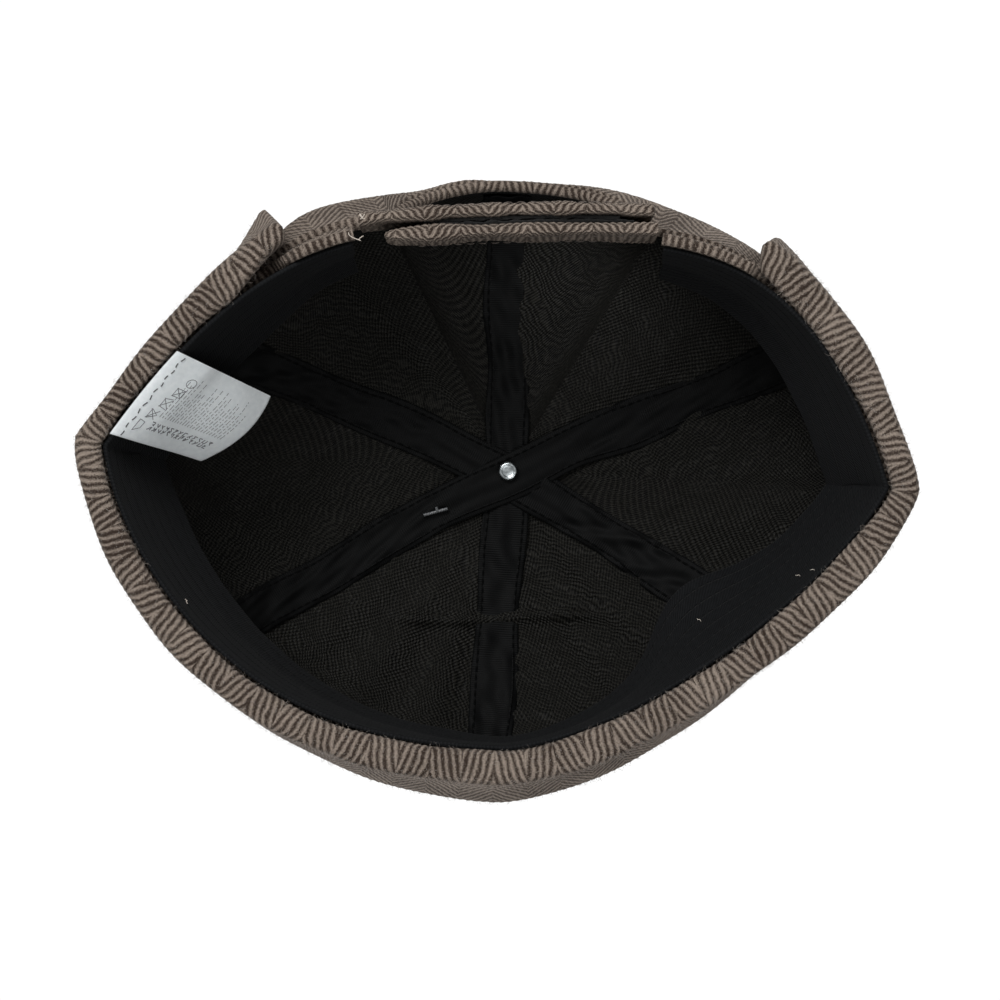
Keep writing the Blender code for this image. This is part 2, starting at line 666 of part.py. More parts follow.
def tab_shares(corner, length):
    """Positions along a tab: even steps, then closer ones round its far end."""
    straight = 1.0 - corner / length
    round_end = straight + (1.0 - straight) * np.sin(np.radians([30.0, 60.0, 90.0]))
    return np.concatenate([np.linspace(0.0, straight, 9), round_end])


def band_end(column):
    """The middle of the headband where it stops at the strap, seen from above."""
    middle = band_points(np.array([column]), np.array([BAND_HEIGHT / 2.0]), np.array([WOOL / 2.0]))
    return middle[0, :2]


HINGE_CLEAR = TAB_THICKNESS / 2.0 + GAP
left_end = band_end(BAND_END)
right_end = band_end(BAND_START)
OUTER_ROOT = (left_end[0] - HINGE_CLEAR, left_end[1] + OUTER_TAB_ROOT_OUT)
OUTER_TIP = (right_end[0] + HINGE_CLEAR + OUTER_TAB_TIP_STEP, right_end[1] + OUTER_TAB_TIP_OUT)
INNER_ROOT = (right_end[0] + HINGE_CLEAR, right_end[1] + INNER_TAB_ROOT_OUT)
INNER_TIP = (INNER_ROOT[0] + INNER_TAB_LENGTH, right_end[1] + INNER_TAB_TIP_OUT)
HALF_TAB = TAB_THICKNESS / 2.0

outer_shares = tab_shares(OUTER_TAB_CORNER, OUTER_ROOT[0] - OUTER_TIP[0])
outer_path = tab_path(OUTER_ROOT, OUTER_TIP, OUTER_TAB_BOW, outer_shares)
outer_origin = (*OUTER_ROOT, BAND_HEIGHT / 2.0)
outer_body = strip_body(outer_path, -HALF_TAB, HALF_TAB, TAB_MARGIN, OUTER_TAB_CORNER)
outer_tab = add_piece("outer_tab", outer_body, WOOL_FINISH, outer_origin)

inner_corner = BAND_HEIGHT / 2.0 - TAB_MARGIN
inner_shares = tab_shares(inner_corner, INNER_TAB_LENGTH)
inner_path = tab_path(INNER_ROOT, INNER_TIP, INNER_TAB_BOW, inner_shares)
inner_origin = (*INNER_ROOT, BAND_HEIGHT / 2.0)
inner_body = strip_body(inner_path, -HALF_TAB, HALF_TAB, TAB_MARGIN, inner_corner)
inner_tab = add_piece("inner_tab", inner_body, WOOL_FINISH, inner_origin)

hook_path = tab_path(OUTER_ROOT, OUTER_TIP, OUTER_TAB_BOW, np.linspace(HOOK_START, HOOK_END, 7))
hook_low = -HALF_TAB - GAP - PATCH_THICKNESS
hook_body = strip_body(hook_path, hook_low, -HALF_TAB - GAP, TAB_MARGIN + PATCH_MARGIN, PATCH_CORNER)
add_piece("hook_patch", hook_body, HOOK_FINISH, outer_origin, outer_tab)

loop_path = tab_path(INNER_ROOT, INNER_TIP, INNER_TAB_BOW, np.linspace(LOOP_START, LOOP_END, 7))
loop_high = HALF_TAB + GAP + PATCH_THICKNESS
loop_body = strip_body(loop_path, HALF_TAB + GAP, loop_high, TAB_MARGIN + PATCH_MARGIN, PATCH_CORNER)
add_piece("loop_patch", loop_body, HOOK_FINISH, inner_origin, inner_tab)


def dome_profile(radius, height, base, steps=5):
    """Radius and height along a round dome, from its rim up to its middle."""
    angles = np.linspace(0.0, math.pi / 2.0, steps + 1)
    return [(radius * math.cos(a), base + height * math.sin(a)) for a in angles[:-1]] + [(0.0, base + height)]


# Button: a steel shell covered with wool, held by a prong that the rivet cap closes.
BUTTON_BASE = CROWN_HEIGHT + WOOL + GAP
SHELL_RADIUS = BUTTON_RADIUS - BUTTON_WOOL - GAP
SHELL_DOME = BUTTON_DOME - BUTTON_WOOL - GAP
SOCKET = PRONG_RADIUS + GAP
cover_inner = dome_profile(SHELL_RADIUS + GAP, SHELL_DOME + GAP, BUTTON_BASE)[::-1]
cover_profile = cover_inner + dome_profile(BUTTON_RADIUS, BUTTON_DOME, BUTTON_BASE)
add_piece("button_cover", turned(cover_profile, CROWN_CENTRE), WOOL_FINISH, smooth=True)

shell_profile = [(0.0, BUTTON_BASE + SOCKET_DEPTH), (SOCKET, BUTTON_BASE + SOCKET_DEPTH), (SOCKET, BUTTON_BASE)]
shell_profile += dome_profile(SHELL_RADIUS, SHELL_DOME, BUTTON_BASE)
add_piece("button_shell", turned(shell_profile, CROWN_CENTRE), STEEL_FINISH, smooth=True)

RIVET_TOP = STACK - GAP
RIVET_BOTTOM = RIVET_TOP - RIVET_THICKNESS
prong_top = BUTTON_BASE + SOCKET_DEPTH - GAP
prong_bottom = RIVET_TOP - SOCKET_DEPTH + GAP
prong_profile = [(0.0, prong_bottom), (PRONG_RADIUS, prong_bottom), (PRONG_RADIUS, prong_top), (0.0, prong_top)]
add_piece("button_prong", turned(prong_profile, CROWN_CENTRE, 12), STEEL_FINISH)

rivet_edge = RIVET_THICKNESS / 3.0
rivet_profile = [(0.0, RIVET_BOTTOM), (RIVET_RADIUS * 0.55, RIVET_BOTTOM + rivet_edge * 0.2)]
rivet_profile += [(RIVET_RADIUS * 0.9, RIVET_BOTTOM + rivet_edge), (RIVET_RADIUS, RIVET_TOP - rivet_edge)]
rivet_profile += [(RIVET_RADIUS * 0.96, RIVET_TOP), (SOCKET, RIVET_TOP), (SOCKET, RIVET_TOP - SOCKET_DEPTH)]
rivet_profile += [(0.0, RIVET_TOP - SOCKET_DEPTH)]
add_piece("rivet_cap", turned(rivet_profile, CROWN_CENTRE), STEEL_FINISH, smooth=True)


def plate(corner, along, up, thick):
    """A box from one corner and its three edges, given left-turning: along, up, thick."""
    corner, along, up, thick = (np.asarray(v, dtype=float) for v in (corner, along, up, thick))
    low = np.array([[corner, corner + along], [corner + up, corner + up + along]])
    return close_sheet(low, low + thick)


# Care label: its sewn edge is its hinge.
label_column = theta_column(math.radians(LABEL_ANGLE))
label_middle = band_points(np.array([label_column]), np.array([LABEL_HEIGHT]), np.array([-LABEL_INSET]))[0]
label_out = between_columns(column_normal, np.array([label_column]), rise_at(LABEL_HEIGHT))[0]
label_out[2] = 0.0
label_out = unit(label_out)
LABEL_AXIS = np.cross([0.0, 0.0, 1.0], label_out)
tilt = math.radians(LABEL_TILT)
label_up = -label_out * math.cos(tilt) + np.array([0.0, 0.0, math.sin(tilt)])
label_thick = np.cross(LABEL_AXIS, label_up)
label_corner = label_middle - LABEL_AXIS * LABEL_WIDTH / 2.0 - label_thick * LABEL_THICKNESS / 2.0
label_body = plate(label_corner, LABEL_AXIS * LABEL_WIDTH, label_up * LABEL_LENGTH, label_thick * LABEL_THICKNESS)
add_piece("care_label", label_body, LABEL_FINISH, tuple(label_middle))


def tag_body():
    """A small T lying on the inner face of a tape."""
    seam = SEAMS[TAG_SEAM]
    rise = rise_at_radius(seam, np.array(TAG_RADIUS))
    centre = dome(seam, rise)
    level = centre[2] + TAPE_INNER - tape_lift(TAG_RADIUS, 2) - TAG_GAP - TAG_SIZE
    out = np.array([math.cos(seam), math.sin(seam)])
    side = np.array([-out[1], out[0]])
    half = TAG_SIZE / 2.0
    outline = [(-TAG_BAR / 2, -half), (TAG_BAR / 2, -half), (TAG_BAR / 2, half), (half, half)]
    outline += [(half, TAG_STEM), (-half, TAG_STEM), (-half, half), (-TAG_BAR / 2, half)]
    flat = centre[:2] + np.array([out * x + side * y for x, y in outline])
    levels = (level, level + TAG_SIZE)
    rows = [np.concatenate([flat, np.full((len(flat), 1), height)], axis=1) for height in levels]
    count = len(outline)
    faces = [tuple(range(count))[::-1], tuple(range(count, 2 * count))]
    faces += [(i, (i + 1) % count, count + (i + 1) % count, count + i) for i in range(count)]
    return np.concatenate(rows), faces


add_piece("tag_fastener", tag_body(), PLASTIC_FINISH)
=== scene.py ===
import math

import bpy
import numpy as np
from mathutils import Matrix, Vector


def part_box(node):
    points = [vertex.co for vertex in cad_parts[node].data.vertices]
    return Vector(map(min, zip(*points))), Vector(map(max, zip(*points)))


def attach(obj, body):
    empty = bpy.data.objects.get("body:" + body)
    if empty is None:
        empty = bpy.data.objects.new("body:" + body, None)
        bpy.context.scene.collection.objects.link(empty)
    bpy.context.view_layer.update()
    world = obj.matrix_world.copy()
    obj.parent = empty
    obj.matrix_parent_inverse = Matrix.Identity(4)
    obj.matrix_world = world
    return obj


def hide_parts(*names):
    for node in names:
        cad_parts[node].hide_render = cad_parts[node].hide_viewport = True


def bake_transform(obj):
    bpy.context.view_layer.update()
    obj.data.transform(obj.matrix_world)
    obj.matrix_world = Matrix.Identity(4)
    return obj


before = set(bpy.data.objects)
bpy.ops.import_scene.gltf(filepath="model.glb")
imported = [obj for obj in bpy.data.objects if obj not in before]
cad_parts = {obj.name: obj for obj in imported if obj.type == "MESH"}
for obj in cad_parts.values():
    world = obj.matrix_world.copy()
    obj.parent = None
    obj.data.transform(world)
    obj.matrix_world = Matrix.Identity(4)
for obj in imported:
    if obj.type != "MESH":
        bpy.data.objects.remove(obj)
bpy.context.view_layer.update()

# ---------------------------------------------------------------- stage, light and camera
# A pale floor that is seen only from above, so that the cap can also be looked at from below,
# with an even white surround and large soft lamps over and under the cap.


def lamp(name, place, size, power):
    """A square soft lamp that points at the cap's middle."""
    light = bpy.data.lights.new(name, "AREA")
    light.size = size
    light.energy = power
    holder = bpy.data.objects.new(name, light)
    bpy.context.collection.objects.link(holder)
    holder.location = place
    x, y, z = (-place[0], -place[1], 0.04 - place[2])
    holder.rotation_euler = (math.atan2(math.hypot(x, y), -z), 0.0, math.atan2(y, x) - math.pi / 2.0)
    return holder


lamp("lamp_below_back", (0.35, 0.65, -0.95), 0.6, 12.0)
lamp("lamp_below_front", (-0.35, -0.55, -0.95), 0.6, 3.0)
lamp("lamp_above_left", (0.9, -0.8, 1.1), 0.9, 14.0)
lamp("lamp_above_right", (-1.0, 0.6, 1.0), 0.9, 10.0)

scene = bpy.context.scene
scene.view_settings.view_transform = "Standard"
world = bpy.data.worlds.new("white_surround")
world.use_nodes = True
surround = world.node_tree.nodes["Background"]
surround.inputs["Color"].default_value = (1.0, 1.0, 1.0, 1.0)
seen_directly = world.node_tree.nodes.new("ShaderNodeLightPath")
brightness = world.node_tree.nodes.new("ShaderNodeMapRange")
brightness.inputs[3].default_value = 0.42
brightness.inputs[4].default_value = 1.05
world.node_tree.links.new(seen_directly.outputs["Is Camera Ray"], brightness.inputs[0])
world.node_tree.links.new(brightness.outputs[0], surround.inputs["Strength"])
scene.world = world

floor_mesh = bpy.data.meshes.new("floor")
floor_mesh.from_pydata([(-3, -3, 0), (3, -3, 0), (3, 3, 0), (-3, 3, 0)], [], [(0, 1, 2, 3)])
floor = bpy.data.objects.new("floor", floor_mesh)
bpy.context.collection.objects.link(floor)
floor.visible_diffuse = False
floor.visible_glossy = False
floor.visible_transmission = False
floor.visible_shadow = False
floor_finish = bpy.data.materials.new("pale_floor")
floor_finish.use_nodes = True
floor_nodes = floor_finish.node_tree.nodes
floor_shader = floor_nodes["Principled BSDF"]
floor_shader.inputs["Base Color"].default_value = (0.86, 0.86, 0.85, 1.0)
floor_shader.inputs["Roughness"].default_value = 0.9
floor_side = floor_nodes.new("ShaderNodeNewGeometry")
floor_clear = floor_nodes.new("ShaderNodeBsdfTransparent")
floor_mix = floor_nodes.new("ShaderNodeMixShader")
floor_links = floor_finish.node_tree.links
floor_links.new(floor_side.outputs["Backfacing"], floor_mix.inputs[0])
floor_links.new(floor_shader.outputs[0], floor_mix.inputs[1])
floor_links.new(floor_clear.outputs[0], floor_mix.inputs[2])
floor_links.new(floor_mix.outputs[0], floor_nodes["Material Output"].inputs["Surface"])
floor_mesh.materials.append(floor_finish)

CAMERA_DISTANCE = 0.75
VIEW_WIDTH = 0.28
camera_data = bpy.data.cameras.new("camera")
camera_data.sensor_width = 36.0
camera_data.lens = 36.0 * CAMERA_DISTANCE / VIEW_WIDTH
camera_data.clip_start = 0.01
camera = bpy.data.objects.new("camera", camera_data)
bpy.context.collection.objects.link(camera)
camera.location = (0.0, 0.0, -CAMERA_DISTANCE)
camera.rotation_euler = (0.0, math.pi, 0.0)
scene.camera = camera

# ---------------------------------------------------------------- crown
# Six gores of brushed herringbone wool, sewn edge to edge and pressed, so that each seam lies in
# a shallow valley. The two back ones are cut away over the strap for the half-moon opening.
LEFT_REACH = 0.1128
RIGHT_REACH = 0.1106
FRONT_DEPTH = 0.0812
BACK_DEPTH = 0.0665
TIP_Y = 0.0097
TIP_SLOPE = 0.056
CROWN_CENTRE = np.array([-0.0025, 0.0090])
CROWN_HEIGHT = 0.0920
CROWN_SQUARENESS = 0.62
SIDE_BULGE = 0.008
FRONT_BULGE = 0.024
BACK_BULGE = 0.031
FRONT_FOCUS = 2.0
BACK_LEFT_FOCUS = 5.0
BACK_RIGHT_FOCUS = 1.2
LEFT_SWELL = 0.014
LEFT_SWELL_ANGLE = math.radians(50.0)
LEFT_SWELL_SPREAD = math.radians(14.0)
BULGE_RISE = 1.3
SEAMS = np.radians([23.0, 90.0, 158.7, 212.9, 274.0, 330.5, 383.0])
WOOL = 0.0020
BAND_HEIGHT = 0.0240
PANEL_BOTTOM = BAND_HEIGHT + 0.0006
ARCH_MIDDLE = -0.0060
ARCH_HALF_WIDTH = 0.0370
ARCH_HEIGHT = 0.0330
GORE_COLUMNS = 90
GORE_ROWS = 110


def opening_quarter(x, reach, depth, square, blunt):
    """Distance of the opening's edge from the line through its two tips, at x."""
    share = np.clip(np.abs(x) / reach, 0.0, 1.0)
    return depth * (1.0 - share**square) ** blunt


turn = np.radians(np.arange(0.0, 360.0, 0.25))
on_left = np.cos(turn) >= 0.0
edge_x = np.where(on_left, LEFT_REACH, RIGHT_REACH) * np.cos(turn)
to_back = np.where(on_left, opening_quarter(edge_x, LEFT_REACH, BACK_DEPTH, 2.7, 1.05),
                   opening_quarter(edge_x, RIGHT_REACH, BACK_DEPTH, 4.5, 0.90))
to_front = np.where(on_left, opening_quarter(edge_x, LEFT_REACH, FRONT_DEPTH, 2.6, 0.65),
                    opening_quarter(edge_x, RIGHT_REACH, FRONT_DEPTH, 1.5, 0.82))
edge_y = TIP_Y + TIP_SLOPE * edge_x + np.where(np.sin(turn) >= 0.0, to_back, -to_front)
RIM = np.stack([edge_x, edge_y], axis=1) - CROWN_CENTRE
RIM_ANGLES = np.unwrap(np.arctan2(RIM[:, 1], RIM[:, 0]))
RIM_RADII = np.hypot(RIM[:, 0], RIM[:, 1])


def rim_angle(x):
    """Direction from the crown's axis of the point at x on the back of the opening."""
    back = RIM[:, 1] > 0.0
    order = np.argsort(RIM[back, 0])
    return float(np.interp(x - CROWN_CENTRE[0], RIM[back, 0][order], RIM_ANGLES[back][order]))


def wall(theta, rise):
    """The wool's inner face: a squared dome over the opening that bulges out above the headband.

    Its distance from the crown's axis is the rim's in that direction, plus the bulge, closing in as
    a power of the cosine of the rise; its height is the same power of the sine.
    """
    theta, rise = np.broadcast_arrays(theta, rise)
    radius = np.interp(theta, RIM_ANGLES, RIM_RADII, period=2.0 * math.pi)
    end = np.where(np.sin(theta) > 0.0, BACK_BULGE, FRONT_BULGE)
    back_focus = np.where(np.cos(theta) > 0.0, BACK_LEFT_FOCUS, BACK_RIGHT_FOCUS)
    focus = np.where(np.sin(theta) > 0.0, back_focus, FRONT_FOCUS)
    away = (theta - LEFT_SWELL_ANGLE + math.pi) % (2.0 * math.pi) - math.pi
    swell = LEFT_SWELL * np.exp(-((away / LEFT_SWELL_SPREAD) ** 2))
    bulge = SIDE_BULGE + (end - SIDE_BULGE) * np.abs(np.sin(theta)) ** focus + swell
    closing = np.clip(np.cos(rise), 0.0, 1.0) ** CROWN_SQUARENESS
    radius = closing * (radius + bulge * np.clip(np.sin(2.0 * rise), 0.0, 1.0) ** BULGE_RISE)
    height = CROWN_HEIGHT * np.clip(np.sin(rise), 0.0, 1.0) ** CROWN_SQUARENESS
    x = CROWN_CENTRE[0] + radius * np.cos(theta)
    y = CROWN_CENTRE[1] + radius * np.sin(theta)
    return np.stack([x, y, height], axis=-1)


def rise_at(height):
    """The rise at which the wall has this height."""
    return np.arcsin(np.clip(np.asarray(height) / CROWN_HEIGHT, 0.0, 1.0) ** (1.0 / CROWN_SQUARENESS))


def unit(vectors):
    """The vectors at length one."""
    return vectors / np.maximum(np.linalg.norm(vectors, axis=-1, keepdims=True), 1e-12)


def wall_normal(theta, rise):
    """The wall's outward direction, from its slopes along (over 2 degrees either way) and up."""
    step, small = math.radians(2.0), 1e-4
    along = wall(theta + step, rise) - wall(theta - step, rise)
    up = wall(theta, rise + small) - wall(theta, rise)
    return unit(np.cross(along, up))


def measure(points, axis):
    """Distance run along an axis of a grid of points, starting from zero."""
    steps = np.linalg.norm(np.diff(points, axis=axis), axis=-1)
    start = np.zeros_like(np.take(steps, [0], axis=axis))
    return np.concatenate([start, np.cumsum(steps, axis=axis)], axis=axis)


def ripple(theta, height, seed, waves=7, longest=0.10, shortest=0.02):
    """A smooth random surface about zero: a sum of plane waves over two directions, of size one."""
    source = np.random.default_rng(seed)
    total = np.zeros(np.broadcast(theta, height).shape)
    for _ in range(waves):
        length = shortest + (longest - shortest) * source.random()
        lean = source.random() * math.pi
        shift = source.random() * 2.0 * math.pi
        way = theta * math.cos(lean) + height * math.sin(lean)
        total = total + np.sin(2.0 * math.pi * way / length + shift)
    return total / math.sqrt(waves)


def finish_mesh(name, vertices, faces, uv, material):
    """A smooth mesh object from points, arrays of faces, and one pattern coordinate for each point."""
    mesh = bpy.data.meshes.new(name)
    mesh.from_pydata(vertices.tolist(), [], [face for part in faces for face in part.tolist()])
    corners = np.concatenate([part.ravel() for part in faces])
    layer = mesh.uv_layers.new(name="weave")
    layer.data.foreach_set("uv", np.asarray(uv, dtype=np.float32)[corners].ravel())
    mesh.polygons.foreach_set("use_smooth", np.ones(len(mesh.polygons), dtype=bool))
    mesh.update()
    mesh.materials.append(material)
    piece = bpy.data.objects.new(name, mesh)
    bpy.context.collection.objects.link(piece)
    return piece


def quads(a, b, c, d):
    """Four-cornered faces from four grids of point numbers."""
    return np.stack([a.ravel(), b.ravel(), c.ravel(), d.ravel()], axis=1)


def cloth(name, low, high, uv, material):
    """A closed sheet between two grids of points, rows up and columns turning left, high outward."""
    rows, columns = low.shape[:2]
    i = np.arange(rows * columns).reshape(rows, columns)
    t = i + rows * columns
    faces = [
        quads(t[:-1, :-1], t[:-1, 1:], t[1:, 1:], t[1:, :-1]),
        quads(i[:-1, :-1], i[1:, :-1], i[1:, 1:], i[:-1, 1:]),
        quads(t[0, 1:], t[0, :-1], i[0, :-1], i[0, 1:]),
        quads(t[-1, :-1], t[-1, 1:], i[-1, 1:], i[-1, :-1]),
        quads(t[:-1, 0], t[1:, 0], i[1:, 0], i[:-1, 0]),
        quads(t[1:, -1], t[:-1, -1], i[:-1, -1], i[1:, -1])]
    vertices = np.concatenate([low.reshape(-1, 3), high.reshape(-1, 3)])
    return finish_mesh(name, vertices, faces, np.tile(uv.reshape(-1, 2), (2, 1)), material)


def tube_faces(count, sides, inside_out=False):
    """Faces of a tube of rings, each end closed by one point that comes after all the rings' points."""
    i = np.arange(count * sides).reshape(count, sides)
    j = np.roll(i, -1, axis=1)
    walls = quads(i[:-1], i[1:], j[1:], j[:-1])
    first, last = np.full(sides, count * sides), np.full(sides, count * sides + 1)
    ends = np.concatenate([np.stack([first, i[0], j[0]], axis=1), np.stack([last, j[-1], i[-1]], axis=1)])
    return [walls[:, [0, 3, 2, 1]], ends[:, [0, 2, 1]]] if inside_out else [walls, ends]


def fit(piece, body, slot, *nodes):
    """The piece moves with a body of the frame, and stands for the nodes that it covers."""
    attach(piece, body)
    if nodes:
        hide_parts(*nodes)


class Recipe:
    """A node material under construction: add() makes a node, math() a sum, and wire() links them."""

    def __init__(self, name):
        self.material = bpy.data.materials.new(name)
        self.material.use_nodes = True
        self.nodes = self.material.node_tree.nodes
        self.links = self.material.node_tree.links
        self.shader = self.nodes["Principled BSDF"]

    def add(self, kind, inputs=(), **settings):
        node = self.nodes.new("ShaderNode" + kind)
        for key, value in settings.items():
            setattr(node, key, value)
        for key, value in dict(inputs).items():
            self.wire(value, node.inputs[key])
        return node

    def wire(self, value, socket):
        if isinstance(value, bpy.types.NodeSocket):
            self.links.new(value, socket)
        else:
            socket.default_value = value

    def math(self, operation, *values):
        node = self.add("Math", operation=operation)
        for socket, value in zip(node.inputs, values):
            self.wire(value, socket)
        return node.outputs[0]

    def weave_axes(self):
        split = self.add("SeparateXYZ", {0: self.add("UVMap", uv_map="weave").outputs[0]})
        return split.outputs[0], split.outputs[1]

    def wave(self, value, pitch, kind="SINE"):
        return self.math(kind, self.math("MULTIPLY", value, 2.0 * math.pi / pitch))

    def noise(self, scale, detail=2.0, rough=0.5):
        place = self.add("TexCoord").outputs["Object"]
        made = self.add("TexNoise", {"Vector": place, "Scale": scale, "Detail": detail, "Roughness": rough})
        return made.outputs[0]

    def range(self, value, low, high, to_low=0.0, to_high=1.0):
        node = self.add("MapRange", {0: value, 1: low, 2: high, 3: to_low, 4: to_high})
        return node.outputs[0]

    def mix(self, share, first, second):
        node = self.add("Mix", data_type="RGBA")
        self.wire(share, node.inputs[0])
        self.wire(first, node.inputs[6])
        self.wire(second, node.inputs[7])
        return node.outputs[2]

    def bump(self, height, distance, strength=1.0):
        made = self.add("Bump", {"Height": height, "Distance": distance, "Strength": strength})
        self.wire(made.outputs[0], self.shader.inputs["Normal"])

    def set(self, **values):
        for key, value in values.items():
            self.wire(value, self.shader.inputs[key.replace("_", " ")])


HERRING_COLUMN = 0.0092
HERRING_PITCH = 0.0021
HERRING_LEAN = 0.42
WOOL_DARK = (0.0265, 0.0165, 0.0118, 1.0)
WOOL_LIGHT = (0.292, 0.240, 0.199, 1.0)


def herring(along, across):
    """Height of the weave, -1 to 1: slanting stripes that turn back at each column of the pattern."""
    side = np.where(np.floor(along / HERRING_COLUMN) % 2.0 < 1.0, 1.0, -1.0)
    return np.cos(2.0 * math.pi * (along + side * across * HERRING_LEAN) / HERRING_PITCH)


def wool_recipe(name, dark, light):
    """Brushed herringbone: beige stripes on brown that turn back at each column, blurred by loose fibre."""
    r = Recipe(name)
    along, across = r.weave_axes()
    wobble = r.math("MULTIPLY", r.math("SUBTRACT", r.noise(330.0, 3.0), 0.5), 0.0014)
    shifted = r.math("ADD", along, wobble)
    parity = r.math("FLOORED_MODULO", r.math("FLOOR", r.math("DIVIDE", along, HERRING_COLUMN)), 2.0)
    side = r.math("SUBTRACT", 1.0, r.math("MULTIPLY", parity, 2.0))
    lean = r.math("MULTIPLY", r.math("MULTIPLY", across, side), HERRING_LEAN)
    phase = r.math("MULTIPLY", r.math("ADD", shifted, lean), 2.0 * math.pi / HERRING_PITCH)
    stripe = r.math("COSINE", phase)
    fibre = r.noise(2600.0, 3.0, 0.7)
    patch = r.noise(45.0, 2.0)
    loose = r.math("MULTIPLY", r.math("SUBTRACT", fibre, 0.5), 2.3)
    mixed = r.math("ADD", r.math("MULTIPLY", stripe, 0.40), loose)
    mixed = r.math("ADD", mixed, r.math("MULTIPLY", r.math("SUBTRACT", patch, 0.5), 0.8))
    share = r.range(mixed, -0.34, 0.56)
    r.set(Base_Color=r.mix(share, dark, light), Roughness=0.95, Specular_IOR_Level=0.15)
    r.set(Sheen_Weight=0.12, Sheen_Roughness=0.6, Sheen_Tint=(0.75, 0.66, 0.58, 1.0))
    fluff = r.math("MULTIPLY", fibre, 0.6)
    r.bump(r.math("ADD", r.math("MULTIPLY", stripe, 0.35), fluff), 0.0006)
    return r.material


wool = wool_recipe("herringbone_wool", WOOL_DARK, WOOL_LIGHT)


def lower_rise(theta):
    """Rise of a panel's lower edge: level with the headband, and lifted over the half moon."""
    x = wall(theta, rise_at(PANEL_BOTTOM))[..., 0]
    share = np.clip((x - ARCH_MIDDLE) / ARCH_HALF_WIDTH, -1.0, 1.0)
    over = np.where(np.sin(theta) > 0.0, ARCH_HEIGHT * np.sqrt(1.0 - share**2), 0.0)
    return rise_at(PANEL_BOTTOM + over)


def panel_grid(panel, lower_edge, top):
    """Directions and rises of one gore's grid, from its lower edge up to the top, and the shares of each."""
    share = np.linspace(0.0, 1.0, GORE_COLUMNS)[None, :]
    up = np.linspace(0.0, 1.0, GORE_ROWS)[:, None]
    theta = SEAMS[panel] + (SEAMS[panel + 1] - SEAMS[panel]) * share
    low = lower_edge(theta)
    return np.broadcast_to(theta, (GORE_ROWS, GORE_COLUMNS)), low + (top - low) * up, share, up


def panel_weave(panel, theta, points):
    """Pattern coordinates of a flat-cut gore: across from its middle line, and up along it."""
    middle = 0.5 * (SEAMS[panel] + SEAMS[panel + 1])
    radius = np.hypot(points[..., 0] - CROWN_CENTRE[0], points[..., 1] - CROWN_CENTRE[1])
    return np.stack([(theta - middle) * radius, measure(points, 0)], axis=-1)


for panel in range(6):
    theta, rise, share, _ = panel_grid(panel, lower_rise, math.radians(89.6))
    points = wall(theta, rise)
    outward = wall_normal(theta, rise)
    weave = panel_weave(panel, theta, points)
    beside_seam = np.minimum(share, 1.0 - share) * (SEAMS[panel + 1] - SEAMS[panel])
    radius = np.hypot(points[..., 0] - CROWN_CENTRE[0], points[..., 1] - CROWN_CENTRE[1])
    valley = -0.0011 * np.exp(-((beside_seam * radius / 0.0022) ** 2))
    puff = 0.0012 * np.clip(beside_seam * radius / 0.02, 0.0, 1.0) ** 0.6
    folds = 0.0006 * ripple(theta * 0.09, points[..., 2], 11 + panel)
    relief = 0.00016 * herring(weave[..., 0], weave[..., 1])
    high = points + outward * (WOOL + valley + puff + folds + relief)[..., None]
    piece = cloth(f"wool_panel_{panel + 1}", points + outward * 0.0002, high, weave, wool)
    fit(piece, "cap", "wool", f"crown_panel_{panel + 1}")

# ---------------------------------------------------------------- half-moon facing
# A black binding along the inside of the half moon's edge, felled to the rolled end of the wool.
EDGE_ROLL = 0.0017


def binding_recipe():
    """Black ribbed binding."""
    r = Recipe("black_binding")
    along, across = r.weave_axes()
    rib = r.wave(along, 0.0009)
    share = r.range(r.math("ADD", rib, r.noise(700.0)), -1.0, 2.0)
    r.set(Base_Color=r.mix(share, (0.003, 0.003, 0.0032, 1.0), (0.009, 0.009, 0.0095, 1.0)), Roughness=0.75)
    r.set(Sheen_Weight=0.03, Specular_IOR_Level=0.15)
    r.bump(rib, 0.0002)
    return r.material


binding = binding_recipe()


def tube(name, path, radius, material, sides):
    """A round tube that follows a path, its ends drawn to blunt points."""
    ahead = unit(np.gradient(path, axis=0))
    level = unit(np.cross(ahead, np.array([0.017, 0.031, 1.0])))
    upright = np.cross(level, ahead)
    ring = np.linspace(0.0, 2.0 * math.pi, sides, endpoint=False)
    side = level[:, None, :] * np.cos(ring)[:, None] + upright[:, None, :] * np.sin(ring)[:, None]
    skin = path[:, None, :] + side * radius
    run = measure(path[:, None, :], 0)[:, 0]
    first = path[0] - ahead[0] * radius * 0.6
    last = path[-1] + ahead[-1] * radius * 0.6
    vertices = np.concatenate([skin.reshape(-1, 3), first[None], last[None]])
    uv = np.stack(np.broadcast_arrays(run[:, None], ring[None, :] * 0.001), axis=-1).reshape(-1, 2)
    uv = np.concatenate([uv, [[0.0, 0.0], [run[-1], 0.0]]])
    return finish_mesh(name, vertices, tube_faces(len(path), sides), uv, material)


arch_theta = np.linspace(rim_angle(ARCH_MIDDLE + 0.0365), rim_angle(ARCH_MIDDLE - 0.0365), 160)
arch_rise = lower_rise(arch_theta)
arch_out = wall_normal(arch_theta, arch_rise)
arch_line = wall(arch_theta, arch_rise) + arch_out * 0.0010
rolled = tube("half_moon_roll", arch_line, EDGE_ROLL, wool, 12)
fit(rolled, "cap", "wool")

